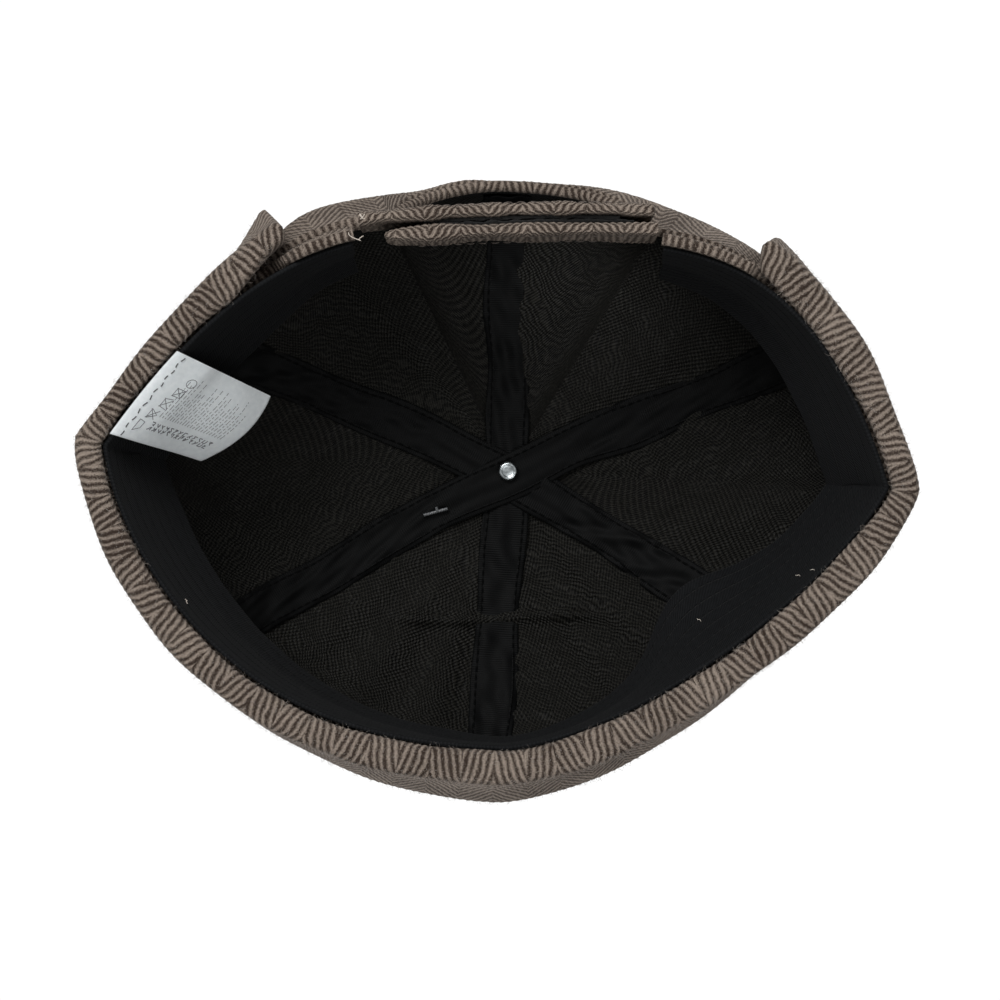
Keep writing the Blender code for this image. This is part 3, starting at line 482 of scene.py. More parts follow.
across = np.linspace(0.0, 1.0, 12)[:, None]
facing_theta = np.broadcast_to(arch_theta, (12, 160))
facing_rise = arch_rise + across * 0.10
facing_points = wall(facing_theta, facing_rise)
facing_out = wall_normal(facing_theta, facing_rise)
facing_uv = np.stack([measure(facing_points, 1), measure(facing_points, 0)], axis=-1)
facing = cloth("half_moon_facing_cloth", facing_points - facing_out * 0.0010,
               facing_points - facing_out * 0.0003, facing_uv, binding)
fit(facing, "cap", "tape", "half_moon_facing")

# ---------------------------------------------------------------- lining
# Fine black mesh in six gores that match the wool's, hung a little slack, so that it lies in
# soft folds between the taped seams. The seams are taped over.
GAP = 0.0003
LINING = 0.0006


def lining_recipe():
    """Black knitted mesh: rows of tiny round openings, with a faint satin shine on the yarn, and lighter
    specks painted into its colour as glints of light (painted highlights).
    """
    r = Recipe("black_mesh_lining")
    along, across = r.weave_axes()
    drift = r.math("MULTIPLY", r.math("SUBTRACT", r.noise(110.0, 3.0), 0.5), 0.0050)
    turns_a = r.wave(r.math("ADD", along, drift), 0.0014, "COSINE")
    turns_b = r.wave(r.math("SUBTRACT", across, drift), 0.0017, "COSINE")
    grid = r.math("MULTIPLY", turns_a, turns_b)
    # Painted highlight: noise specks that lighten the base colour towards the warm light tone stand in for
    # glints of light on the yarn.
    painted_glint = r.range(r.noise(1500.0, 2.0, 0.7), 0.45, 0.75)
    share = r.range(r.math("ADD", grid, r.math("MULTIPLY", painted_glint, 1.1)), -0.5, 1.9)
    # The light colour serves both as the mesh yarn's own tone and as the painted glints.
    r.set(Base_Color=r.mix(share, (0.0012, 0.0012, 0.0011, 1.0), (0.0235, 0.0225, 0.0190, 1.0)))
    r.set(Roughness=0.55, Specular_IOR_Level=0.12, Sheen_Weight=0.015, Sheen_Roughness=0.4)
    r.bump(grid, 0.00025, 0.8)
    return r.material


lining = lining_recipe()


def inner_bottom(theta):
    """Rise where the lining ends: hidden behind the sweatband, and lifted over the half moon."""
    return np.maximum(rise_at(0.0265), lower_rise(theta) + 0.04)


for panel in range(6):
    theta, rise, share, up = panel_grid(panel, inner_bottom, math.radians(89.5))
    points = wall(theta, rise)
    outward = wall_normal(theta, rise)
    slack = np.sin(math.pi * share) ** 0.7 * np.sin(math.pi * np.clip(up, 0.0, 1.0) ** 0.8)
    folds = ripple(theta * 0.085, points[..., 2] + points[..., 1] * 0.5, 31 + panel, 6, 0.075, 0.022)
    drop = 0.0003 + slack * (0.0016 + 0.0024 * np.clip(folds, -0.8, 2.0))
    from_crease = points[..., 1] + 0.0372 + 0.0009 * np.sin(points[..., 0] * 90.0)
    crease = 0.0022 * np.exp(-((from_crease / 0.0016) ** 2))
    in_front = np.clip((0.036 - np.abs(points[..., 0] - 0.001)) / 0.008, 0.0, 1.0) * (points[..., 1] < 0.0)
    drop = drop + crease * in_front
    face = points - outward * (GAP + drop)[..., None]
    weave = panel_weave(panel, theta, points)
    piece = cloth(f"lining_panel_{panel + 1}", face - outward * LINING, face, weave, lining)
    fit(piece, "cap", "lining", f"crown_lining_{panel + 1}")

# ---------------------------------------------------------------- seam tapes
# Three bands of black satin-weave tape, each from rim to rim over a pair of opposite seams, with
# two rows of stitches along either side. They cross at the middle, the lengthwise one uppermost.
TAPE = 0.0006
TAPE_WIDTH = 0.0138


def tape_recipe():
    """Black satin tape: fine cross ribs, and a row of small sunk stitches along either side."""
    r = Recipe("black_seam_tape")
    along, across = r.weave_axes()
    rib = r.wave(along, 0.0007)
    stitch = r.wave(along, 0.0028)
    away = r.math("ABSOLUTE", across)
    rows = r.range(r.math("ABSOLUTE", r.math("SUBTRACT", away, 0.0053)), 0.0, 0.00035, 1.0, 0.0)
    dent = r.math("MULTIPLY", rows, r.range(stitch, -0.4, 0.6))
    share = r.range(r.math("ADD", r.math("MULTIPLY", rib, 0.2), r.noise(300.0, 3.0)), 0.1, 0.9)
    base = r.mix(share, (0.0015, 0.0016, 0.0017, 1.0), (0.0034, 0.0036, 0.0037, 1.0))
    base = r.mix(dent, base, (0.0018, 0.0018, 0.0019, 1.0))
    r.set(Base_Color=base, Roughness=0.6, Specular_IOR_Level=0.08, Sheen_Weight=0.01, Sheen_Roughness=0.4)
    sunk = r.math("MULTIPLY", rows, r.math("SUBTRACT", r.math("MULTIPLY", stitch, 0.5), 0.8))
    r.bump(r.math("ADD", r.math("MULTIPLY", rib, 0.10), sunk), 0.0003)
    return r.material


tape_finish = tape_recipe()


def over_the_top(first, second, bottoms, count=260):
    """A line up one seam, over the crown's middle and down the other: position, outward and direction."""
    half = count // 2
    rise_a = np.linspace(bottoms[0], math.radians(86.0), half)
    rise_b = np.linspace(math.radians(86.0), bottoms[1], half)
    theta = np.concatenate([np.full(half, first), np.full(half, second)])
    rise = np.concatenate([rise_a, rise_b])
    points = wall(theta, rise)
    outward = wall_normal(theta, rise)
    for _ in range(12):
        points[1:-1] = 0.25 * points[:-2] + 0.5 * points[1:-1] + 0.25 * points[2:]
        outward[1:-1] = 0.25 * outward[:-2] + 0.5 * outward[1:-1] + 0.25 * outward[2:]
    return points, unit(outward)


TAPES = (("seam_tape_left_back", 0, 3, 1, 41, 0.267), ("seam_tape_right_back", 2, 5, 2, 42, 0.282),
         ("seam_tape_centre", 1, 4, 0, 43, 0.234))
for name, one, other, order, seed, length in TAPES:
    bottoms = [float(inner_bottom(SEAMS[one])), float(inner_bottom(SEAMS[other]))]
    line, outward = over_the_top(SEAMS[one], SEAMS[other], bottoms)
    run = measure(line[:, None, :], 0)
    middle = 0.5 * run[-1]
    ahead = unit(np.gradient(line, axis=0))
    sideways = unit(np.cross(outward, ahead))
    across = np.linspace(-0.5, 0.5, 25)[None, :] * TAPE_WIDTH
    wave = ripple(run, 0.0, seed, 6, 0.05, 0.018)
    sway = 0.0004 * ripple(run, 0.0, seed + 7, 5, 0.06, 0.03)
    edge = across + 0.0005 * wave * (across / TAPE_WIDTH) * 2.0 + sway
    pucker = 0.00042 * ripple(run + across * 0.8, across * 2.0, seed + 13, 8, 0.018, 0.007)
    near_edge = np.clip(np.abs(across) / TAPE_WIDTH * 2.0, 0.0, 1.0) ** 3
    pucker = pucker + 0.00020 * near_edge * ripple(run, across * 0.0, seed + 17, 8, 0.006, 0.003)
    lift = 0.0021 + order * 0.0006 * np.exp(-(((run - middle) / 0.022) ** 2)) + pucker
    lift = lift - (order == 0) * 0.0002
    top = line[:, None, :] + sideways[:, None, :] * edge[..., None] - outward[:, None, :] * lift[..., None]
    tuck = 0.0012 * np.exp(-((np.abs(across) - 0.5 * TAPE_WIDTH) / 0.0012) ** 2)
    top = top + outward[:, None, :] * (tuck * 0.25)[..., None]
    uv = np.stack(np.broadcast_arrays(run, across), axis=-1)
    piece = cloth(name + "_cloth", top - outward[:, None, :] * TAPE, top, uv, tape_finish)
    fit(piece, "cap", "tape", name)

# ---------------------------------------------------------------- headband and cuff
# The headband is a straight strip of the same wool inside the cuff. The cuff stands round the
# sides and front of the cap, folded double over a soft stiffener, its two ends springing away
# from the headband at either side of the gap at the back.
BACK_GAP_LEFT = 0.0410
BACK_GAP_RIGHT = 0.0455
CUFF_HEIGHT = 0.0480
CUFF_LEFT_X = 0.0570
CUFF_RIGHT_X = 0.0700
CUFF_LEFT_FLARE = 0.0030
CUFF_LEFT_SPLAY = 0.0022
CUFF_RIGHT_FLARE = 0.0025
FLARE_ANGLE = math.radians(17.0)
CUFF_INSIDE = 0.0027
CUFF_OUTSIDE = 0.0088
# How much thinner the cuff is at the cap's left and right tips.
LEFT_TIP_THINNER = 0.0020
RIGHT_TIP_THINNER = 0.0012
# How far the cuff's rolled foot reaches in under the headband, and up to what height it does.
ROLL_REACH = 0.0046
ROLL_HEIGHT = 0.0105
# Where the headband's lower edge is: bare, and behind the cuff's roll.
BAND_FOOT = 0.0006
BAND_FOOT_RAISED = 0.0110


def rim_points(theta, height, offset):
    """Points at a level offset from the wall at a height, and the level direction that leads out there."""
    rise = rise_at(np.maximum(height, 0.0))
    base = wall(theta, rise)
    out = wall_normal(theta, np.broadcast_to(rise_at(0.012), np.broadcast(theta, height).shape))
    out = unit(out * np.array([1.0, 1.0, 0.0]))
    return base + out * np.asarray(offset)[..., None], out


band_start = rim_angle(BACK_GAP_LEFT)
band_end = rim_angle(-BACK_GAP_RIGHT)
band_theta = np.linspace(band_end, band_start + 2.0 * math.pi, 700)[None, :]
cuff_start = rim_angle(-CUFF_RIGHT_X)
cuff_end = rim_angle(CUFF_LEFT_X) + 2.0 * math.pi
cuffed = np.clip(np.minimum(band_theta - cuff_start, cuff_end - band_theta) / math.radians(5.0), 0.0, 1.0)
band_foot = BAND_FOOT + BAND_FOOT_RAISED * cuffed
band_height = band_foot + (BAND_HEIGHT - band_foot) * np.linspace(0.0, 1.0, 30)[:, None]
band_theta, band_height = np.broadcast_arrays(band_theta, band_height)
base, _ = rim_points(band_theta, band_height, np.zeros(band_theta.shape))
band_run = measure(base, 1)
band_uv = np.stack([band_run, band_height], axis=-1)
worn = 0.00025 * herring(band_run, band_height) + 0.0003 * ripple(band_run, band_height, 51)
high, _ = rim_points(band_theta, band_height, 0.0020 + worn)
low, _ = rim_points(band_theta, band_height, np.full(band_theta.shape, -0.0009))
band = cloth("wool_headband", low, high, band_uv, wool)
fit(band, "cap", "wool", "headband", "headband_interlining")

# Along the cuff: its ends curl off the headband, and it thins at the cap's two tips.
CUFF_COLUMNS = 900
CUFF_RING = 64
cuff_theta = np.linspace(cuff_start, cuff_end, CUFF_COLUMNS)
from_right = np.clip(1.0 - (cuff_theta - cuff_start) / FLARE_ANGLE, 0.0, 1.0)
from_left = np.clip(1.0 - (cuff_end - cuff_theta) / FLARE_ANGLE, 0.0, 1.0)
flare = CUFF_RIGHT_FLARE * from_right**2 + CUFF_LEFT_FLARE * from_left**2
left_tip = np.exp(-((np.degrees(cuff_theta - 2.0 * math.pi - math.radians(4.0)) / 17.0) ** 2))
right_tip = np.exp(-((np.degrees(cuff_theta - math.radians(180.0)) / 15.0) ** 2))
cuff_outside = CUFF_OUTSIDE - LEFT_TIP_THINNER * left_tip - RIGHT_TIP_THINNER * right_tip
middle_offset = 0.5 * (CUFF_INSIDE + cuff_outside)
half_thick = 0.5 * (cuff_outside - CUFF_INSIDE)
end_share = np.clip(np.minimum(cuff_theta - cuff_start, cuff_end - cuff_theta) / math.radians(1.6), 0.0, 1.0)
rounded = np.sqrt(1.0 - (1.0 - end_share) ** 2)
tall = 0.5 * CUFF_HEIGHT
# The section is a flattened ring that starts on its inner face, its points closest at head and foot.
fine = np.linspace(math.pi, 3.0 * math.pi, 8001)
fine_x = np.sign(np.cos(fine)) * np.abs(np.cos(fine)) ** 0.55
fine_z = np.sign(np.sin(fine)) * np.abs(np.sin(fine)) ** 0.16
fine_run = np.concatenate([[0.0], np.cumsum(np.hypot(np.diff(fine_x) * 0.0030, np.diff(fine_z) * tall))])
near_end = np.cumsum(np.abs(fine_z) > 0.93) / 8001.0
spacing = fine_run / fine_run[-1] + 1.6 * near_end
ring_run = np.interp(np.linspace(0.0, spacing[-1], CUFF_RING, endpoint=False), spacing, fine_run)
ring_x = np.interp(ring_run, fine_run, fine_x)
ring_z = np.interp(ring_run, fine_run, fine_z)
theta_g = np.repeat(cuff_theta[:, None], CUFF_RING, axis=1)
level = tall + ring_z[None, :] * tall * (0.975 + 0.025 * rounded[:, None])
# Every point is set off from the wall at its own height, the foot rolled in and the left end splayed.
foot, _ = rim_points(cuff_theta, np.full(CUFF_COLUMNS, 0.0120), middle_offset)
cuff_run = measure(foot[None, :, :], 1)[0]
around_g = np.broadcast_to(ring_run[None, :], level.shape)
run_g = np.broadcast_to(cuff_run[:, None], level.shape)
plump = 0.0005 * ripple(run_g, level * 0.6, 61, 7, 0.12, 0.030) + 0.00010 * herring(run_g, around_g)
thick = half_thick[:, None] * ring_x[None, :] * rounded[:, None]
near_foot = np.sqrt(np.clip(1.0 - level / ROLL_HEIGHT, 0.0, 1.0))
joined = np.clip((cuff_end - cuff_theta) / math.radians(10.0) - 0.35, 0.0, 1.0)
joined = joined * np.clip((cuff_theta - cuff_start) / math.radians(2.0), 0.0, 1.0)
splay = CUFF_LEFT_SPLAY * from_left[:, None] ** 1.5 * np.clip(level / CUFF_HEIGHT, 0.0, 1.0)
tip_share = 1.0 - 0.10 * left_tip - 0.10 * right_tip
reach_in = ROLL_REACH * near_foot * np.clip(-ring_x, 0.0, 1.0)[None, :] * (joined * tip_share)[:, None]
offset = (middle_offset + flare)[:, None] + splay - reach_in + thick + plump * ring_x[None, :]
cuff_points, _ = rim_points(theta_g, np.clip(level, 0.0006, 0.047), offset)
cuff_points[..., 2] = np.clip(level + plump * 0.9 * ring_z[None, :] + 0.0004, 0.0002, 1.0)
centres = np.array([cuff_points[0].mean(axis=0), cuff_points[-1].mean(axis=0)])
cuff_uv = np.stack([run_g, around_g], axis=-1).reshape(-1, 2)
cuff_uv = np.concatenate([cuff_uv, [[0.0, 0.0], [cuff_run[-1], 0.0]]])
cuff = finish_mesh("wool_cuff", np.concatenate([cuff_points.reshape(-1, 3), centres]),
                   tube_faces(CUFF_COLUMNS, CUFF_RING, True), cuff_uv, wool)
fit(cuff, "cap", "wool", "cuff", "cuff_interlining")

# ---------------------------------------------------------------- sweatband
# A stiff strip of black twill sewn to the inside of the headband, quilted with level rows of
# stitches. Its free upper edge leans inwards, and bulges well out of line at one place.
SWEAT_BOTTOM = 0.0030
SWEAT_HEIGHT = 0.0320
SWEAT_THICKNESS = 0.0012
SWEAT_SIDE_LEAN = 0.0125
SWEAT_FRONT_LEAN = 0.0032
SWEAT_BACK_LEAN = 0.0060
SWEAT_BULGE = 0.0125
SWEAT_BULGE_ANGLE = math.radians(221.0)
SWEAT_BULGE_SPREAD = math.radians(15.0)
SWEAT_CURL = 1.3


def twill_recipe():
    """Black cotton twill: fine slanting ribs, crossed by level rows of dark stitches in shallow grooves."""
    r = Recipe("black_twill")
    along, across = r.weave_axes()
    diagonal = r.math("ADD", along, across)
    rib = r.wave(diagonal, 0.0011)
    row_at = r.wave(across, 0.0046)
    row = r.range(row_at, 0.9, 1.0)
    stitch = r.range(r.wave(along, 0.0026), -0.3, 0.3)
    share = r.range(r.math("ADD", r.math("MULTIPLY", rib, 0.3), r.noise(500.0, 3.0)), 0.1, 1.0)
    base = r.mix(share, (0.0026, 0.0029, 0.0034, 1.0), (0.0072, 0.0078, 0.0087, 1.0))
    base = r.mix(row, base, (0.0035, 0.0038, 0.0042, 1.0))
    r.set(Base_Color=base, Roughness=0.7, Specular_IOR_Level=0.10, Sheen_Weight=0.02, Sheen_Roughness=0.5)
    groove = r.math("MULTIPLY", row, r.math("SUBTRACT", stitch, 1.6))
    r.bump(r.math("ADD", r.math("MULTIPLY", rib, 0.12), groove), 0.0005)
    return r.material


twill = twill_recipe()


def sweat_lean(theta):
    """How far the free edge leans in from the headband: most at the sides, and at the bulge."""
    side = np.cos(theta) ** 2
    end = np.where(np.sin(theta) > 0.0, SWEAT_BACK_LEAN, SWEAT_FRONT_LEAN)
    apart = (theta - SWEAT_BULGE_ANGLE + math.pi) % (2.0 * math.pi) - math.pi
    bulge = SWEAT_BULGE * np.exp(-((apart / SWEAT_BULGE_SPREAD) ** 2))
    return end + (SWEAT_SIDE_LEAN - end) * side + bulge


sweat_theta = np.linspace(band_end + 0.01, band_start - 0.01 + 2.0 * math.pi, 800)[None, :]
sweat_share = np.linspace(0.0, 1.0, 60)[:, None]
sweat_theta, sweat_share = np.broadcast_arrays(sweat_theta, sweat_share)
lean = sweat_lean(sweat_theta) * sweat_share**SWEAT_CURL
sweat_height = SWEAT_BOTTOM + SWEAT_HEIGHT * sweat_share
foot, _ = rim_points(sweat_theta, np.full(sweat_theta.shape, SWEAT_BOTTOM), -0.0012)
sweat_run = measure(foot, 1)
pucker = 0.0004 * ripple(sweat_run, sweat_height, 71, 9, 0.05, 0.014) * sweat_share
sweat_face, sweat_out = rim_points(sweat_theta, np.minimum(sweat_height, BAND_HEIGHT), -0.0012 - lean)
sweat_face[..., 2] = sweat_height
wavy = 0.0008 * ripple(sweat_run, sweat_height * 0.0, 77, 7, 0.07, 0.02) * sweat_share**2
sweat_face[..., 2] = sweat_face[..., 2] + wavy
sweat_high = sweat_face + sweat_out * pucker[..., None]
sweat_low = sweat_face - sweat_out * (SWEAT_THICKNESS + pucker * 0.5)[..., None]
sweat_uv = np.stack([sweat_run, sweat_share * SWEAT_HEIGHT], axis=-1)
sweat = cloth("twill_sweatband", sweat_low, sweat_high, sweat_uv, twill)
fit(sweat, "cap", "twill", "sweatband")

# ---------------------------------------------------------------- strap
# Two flat strips of folded wool that overlap across the gap at the back, each sewn in by one end
# between band and facing, and held to each other by a pad of hooks and a pad of loops.
TAB_BOTTOM = 0.0010
TAB_TOP = 0.0230
TAB_THICKNESS = 0.0036


def strip_curve(root, tip, bow, count):
    """A level curve from root to tip that swells by bow at its middle, and its left-hand direction."""
    share = np.linspace(0.0, 1.0, count)
    chord = np.array(tip) - np.array(root)
    length = float(np.hypot(*chord))
    left = np.array([-chord[1], chord[0]]) / length
    points = np.array(root) + share[:, None] * chord + (4.0 * bow * share * (1.0 - share))[:, None] * left
    ahead = unit(np.gradient(points, axis=0))
    return points, np.stack([-ahead[:, 1], ahead[:, 0]], axis=1), share, length


def wool_strip(name, root, tip, bow, blunt, seed, body, node):
    """A folded strip of wool on edge: a long flattened tube of rounded section and a rounded free tip."""
    count, sides = 300, 72
    line, left, share, length = strip_curve(root, tip, bow, count)
    turn_by = np.linspace(0.0, 2.0 * math.pi, sides, endpoint=False)
    flat_x = np.sign(np.cos(turn_by)) * np.abs(np.cos(turn_by)) ** 0.5
    flat_z = np.sign(np.sin(turn_by)) * np.abs(np.sin(turn_by)) ** 0.2
    to_end = np.clip((1.0 - share) * length / blunt, 0.0, 1.0)
    close = np.sqrt(np.clip(1.0 - (1.0 - to_end) ** 2, 0.0, 1.0))
    shrink = np.minimum(0.15 + 0.85 * close, 1.0)[:, None]
    run = np.broadcast_to((share * length)[:, None], (count, sides))
    half = 0.5 * (TAB_TOP - TAB_BOTTOM)
    up = half * flat_z[None, :] * np.where(shrink < 1.0, 1.0 - 0.35 * (1.0 - shrink), 1.0)
    fluff = 0.00018 * herring(run, up) + 0.00035 * ripple(run, up, seed, 8, 0.03, 0.008)
    out = (0.5 * TAB_THICKNESS * flat_x[None, :]) * shrink + fluff * flat_x[None, :]
    x = line[:, None, 0] + left[:, None, 0] * out
    y = line[:, None, 1] + left[:, None, 1] * out
    z = 0.5 * (TAB_TOP + TAB_BOTTOM) + up + 0.0003 * ripple(run, up * 0.0, seed + 3, 6, 0.04, 0.012)
    points = np.stack([x, y, np.broadcast_to(z, x.shape)], axis=-1)
    ends = np.array([points[0].mean(axis=0), points[-1].mean(axis=0)])
    wrap = np.broadcast_to((turn_by * 0.0075)[None, :], run.shape)
    uv = np.concatenate([np.stack([run, wrap], axis=-1).reshape(-1, 2), [[0.0, 0.0], [length, 0.0]]])
    points = np.concatenate([points.reshape(-1, 3), ends])
    piece = finish_mesh(name, points, tube_faces(count, sides), uv, wool)
    fit(piece, body, "wool", node)
    return line, left


OUTER_ROOT = (0.0398, 0.0789)
OUTER_TIP = (-0.0439, 0.0814)
INNER_ROOT = (-0.0444, 0.0762)
INNER_TIP = (0.0326, 0.0744)
outer_line, outer_left = wool_strip("outer_strap_wool", OUTER_ROOT, OUTER_TIP, -0.0016, 0.0012, 81,
                                    "outer_strap", "outer_tab")
inner_line, inner_left = wool_strip("inner_strap_wool", INNER_ROOT, INNER_TIP, 0.0008, 0.0050, 82,
                                    "inner_strap", "inner_tab")


def hook_recipe(name, dark, light, scale):
    """Black hook-and-loop tape: a nap of tiny stiff hooks or soft loops."""
    r = Recipe(name)
    nap = r.noise(scale, 4.0, 0.8)
    r.set(Base_Color=r.mix(r.range(nap, 0.35, 0.7), dark, light), Roughness=0.6, Sheen_Weight=0.05)
    r.set(Specular_IOR_Level=0.2)
    r.bump(nap, 0.0008)
    return r.material


def stitch_line(name, path, outward, body, material, length=0.0024, gap=0.0011, thick=0.00022):
    """A row of thread stitches: short capsules laid end to end along a path, each bedded in by half."""
    run = measure(path[:, None, :], 0)[:, 0]
    starts = np.arange(0.0005, run[-1] - length, length + gap)
    share = np.linspace(0.0, 1.0, 5)
    s = starts[:, None] + share[None, :] * length
    centre = np.stack([np.interp(s, run, path[:, k]) for k in range(3)], axis=-1)
    out = unit(np.stack([np.interp(s, run, outward[:, k]) for k in range(3)], axis=-1))
    ahead = unit(np.gradient(centre, axis=1))
    side = np.cross(ahead, out)
    body_of_thread = thick * np.array([0.35, 0.95, 1.0, 0.95, 0.35])[None, :, None]
    arch = thick * np.array([-0.6, 0.2, 0.45, 0.2, -0.6])[None, :, None]
    ring = np.linspace(0.0, 2.0 * math.pi, 6, endpoint=False)
    spoke = side[:, :, None, :] * np.cos(ring)[:, None] + out[:, :, None, :] * np.sin(ring)[:, None]
    skin = (centre + out * arch)[:, :, None, :] + body_of_thread[..., None] * spoke
    i = np.arange(len(starts) * 30).reshape(len(starts), 5, 6)
    j = np.roll(i, -1, axis=2)
    ends = np.concatenate([i[:, 0][:, [0, 5, 4, 3]], i[:, 0][:, [3, 2, 1, 0]], i[:, 4][:, [0, 1, 2, 3]],
                           i[:, 4][:, [3, 4, 5, 0]]])
    faces = [quads(i[:, :-1], j[:, :-1], j[:, 1:], i[:, 1:]), ends]
    flat = skin.reshape(-1, 3)
    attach(finish_mesh(name, flat, faces, flat[:, :2], material), body)


def thread_recipe(name, dark, light):
    """Twisted sewing thread."""
    r = Recipe(name)
    share = r.range(r.noise(1800.0, 2.0), 0.3, 0.7)
    r.set(Base_Color=r.mix(share, dark, light), Roughness=0.5, Sheen_Weight=0.3)
    r.bump(share, 0.0001)
    return r.material


hooks = hook_recipe("stiff_hooks", (0.006, 0.006, 0.006, 1.0), (0.035, 0.035, 0.035, 1.0), 2600.0)
loops = hook_recipe("soft_loops", (0.006, 0.006, 0.006, 1.0), (0.025, 0.025, 0.025, 1.0), 1700.0)


PAD_NAP = 0.0009


def hook_pad(name, line, left, start, end, material, body, node):
    """A pad of hooks or loops sewn to one face of a strap, between two shares of its length."""
    count = len(line)
    first, last = int(start * (count - 1)), int(end * (count - 1))
    path, side = line[first:last + 1], left[first:last + 1]
    height = np.linspace(TAB_BOTTOM + 0.0025, TAB_TOP - 0.0025, 16)[:, None]
    run = measure(path[:, None, :], 0)[:, 0]
    nap = 0.0002 * ripple(run[None, :] + height * 0.0, height, 85, 8, 0.008, 0.003)

    def layer(offset):
        x = path[None, :, 0] + side[None, :, 0] * offset
        y = path[None, :, 1] + side[None, :, 1] * offset
        return np.stack(np.broadcast_arrays(x, y, height), axis=-1)

    near, far = layer(0.5 * TAB_THICKNESS), layer(0.5 * TAB_THICKNESS + PAD_NAP + nap)
    if path[-1, 0] > path[0, 0]:
        near, far = near[:, ::-1], far[:, ::-1]
    inner, outer = (near, far) if near[..., 1].mean() < far[..., 1].mean() else (far, near)
    uv = np.stack(np.broadcast_arrays(run[None, :], height), axis=-1)
    piece = cloth(name, inner, outer, uv, material)
    fit(piece, body, "hook_and_loop", node)


hook_pad("hook_pad_nap", outer_line, outer_left, 0.22, 0.88, hooks, "outer_strap", "hook_patch")
hook_pad("loop_pad_nap", inner_line, inner_left, 0.09, 0.80, loops, "inner_strap", "loop_patch")

brown_thread = thread_recipe("brown_thread", (0.05, 0.036, 0.028, 1.0), (0.12, 0.095, 0.078, 1.0))
pale_thread = thread_recipe("pale_thread", (0.42, 0.36, 0.30, 1.0), (0.62, 0.56, 0.49, 1.0))
dark_thread = thread_recipe("dark_thread", (0.020, 0.020, 0.021, 1.0), (0.045, 0.045, 0.047, 1.0))


def strap_row(name, line, left, height, end, body):
    """A row of stitches along the outer face of a strap, at one height, from near its root to an end."""
    count = len(line)
    part = slice(int(0.03 * (count - 1)), int(end * (count - 1)) + 1)
    side = -left[part]
    flat = line[part] + side * (0.5 * TAB_THICKNESS + 0.0002)
    path = np.concatenate([flat, np.full((len(flat), 1), height)], axis=1)
    outward = np.concatenate([side, np.zeros((len(flat), 1))], axis=1)
    stitch_line(name, path, outward, body, brown_thread, thick=0.00016)


for height, label in ((TAB_BOTTOM + 0.0032, "low"), (TAB_TOP - 0.0032, "high")):
    strap_row(f"outer_strap_stitches_{label}", outer_line, outer_left, height, 0.97, "outer_strap")
    strap_row(f"inner_strap_stitches_{label}", inner_line, inner_left, height, 0.90, "inner_strap")

# ---------------------------------------------------------------- button and rivet
# A domed steel button covered with the same wool sits on the crown's middle. Its prong passes
# through cloth and tapes, and is closed inside by a bright turned rivet cap.
BUTTON_RADIUS = 0.0088
BUTTON_DOME = 0.0046
BUTTON_WOOL = 0.0012


def steel_recipe(name, dark, light, rough):
    """Nickel-plated steel, faintly brushed and dulled by wear."""
    r = Recipe(name)
    worn = r.noise(900.0, 3.0)
    r.set(Base_Color=r.mix(r.range(worn, 0.3, 0.7), dark, light), Metallic=1.0)
    r.wire(r.range(worn, 0.3, 0.7, rough, rough + 0.12), r.shader.inputs["Roughness"])
    r.bump(worn, 0.00004)
    return r.material


steel = steel_recipe("nickel_steel", (0.30, 0.33, 0.34, 1.0), (0.52, 0.56, 0.57, 1.0), 0.20)


def turned(name, profile, centre, material, columns=96, relief=None):
    """A round piece from a profile of radii and heights, from the middle of one side to the other."""
    profile = np.asarray(profile, dtype=float)
    angle = np.linspace(0.0, 2.0 * math.pi, columns, endpoint=False)
    radius = profile[:, 0][:, None] * np.ones((1, columns))
    height = profile[:, 1][:, None] * np.ones((1, columns))
    x = radius * np.cos(angle)
    y = radius * np.sin(angle)
    if relief is not None:
        height = height + relief(x, y, profile[:, 1][:, None])
    grid = np.stack([centre[0] + x, centre[1] + y, height], axis=-1)
    inner = grid[1:-1]
    points = np.concatenate([inner.reshape(-1, 3), grid[0].mean(axis=0)[None], grid[-1].mean(axis=0)[None]])
    return finish_mesh(name, points, tube_faces(len(inner), columns, True), points[:, :2] - centre, material)


def dome_line(radius, height, base, steps):
    """Radii and heights along a quarter ellipse, from its rim up to its middle."""
    angle = np.linspace(0.0, 0.5 * math.pi, steps)
    return np.stack([radius * np.cos(angle), base + height * np.sin(angle)], axis=1)


button_base = CROWN_HEIGHT + WOOL + GAP
inside = dome_line(BUTTON_RADIUS - BUTTON_WOOL, BUTTON_DOME - BUTTON_WOOL, button_base, 24)[::-1]
outside = dome_line(BUTTON_RADIUS, BUTTON_DOME, button_base, 40)
under = np.linspace(inside[-1], outside[0], 5)[1:-1]


def button_relief(x, y, height):
    """Herringbone ridges that show on the outer face only."""
    shown = (height > button_base + 0.0001) * 1.0
    return 0.00012 * herring(x + 0.003, y) * shown


profile = np.concatenate([inside, under, outside])
button = turned("wool_button", profile, CROWN_CENTRE, wool, 128, button_relief)
fit(button, "cap", "wool", "button_cover")

for name in ("button_shell", "button_prong"):
    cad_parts[name].data.materials.clear()
    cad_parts[name].data.materials.append(steel)

low, top = (corner.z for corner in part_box("rivet_cap"))
face = np.array([
    (0.0, low + 0.00030), (0.00080, low + 0.00028), (0.00160, low + 0.00020), (0.00205, low),
    (0.00240, low + 0.00002), (0.00270, low + 0.00016), (0.00300, low + 0.00050),
    (0.00312, low + 0.00105), (0.00305, top - 0.00010), (0.00290, top)])
socket = np.array([(0.00180, top), (0.00180, top - 0.0011), (0.0, top - 0.0011)])
steps = np.linspace(0.0, 9.0, 60)
face = np.stack([np.interp(steps, np.arange(10), face[:, k]) for k in (0, 1)], axis=1)
for _ in range(4):
    face[1:-1] = 0.25 * face[:-2] + 0.5 * face[1:-1] + 0.25 * face[2:]
rivet = turned("rivet_cap_polished", np.concatenate([face, socket]), CROWN_CENTRE, steel)
fit(rivet, "cap", "steel", "rivet_cap")

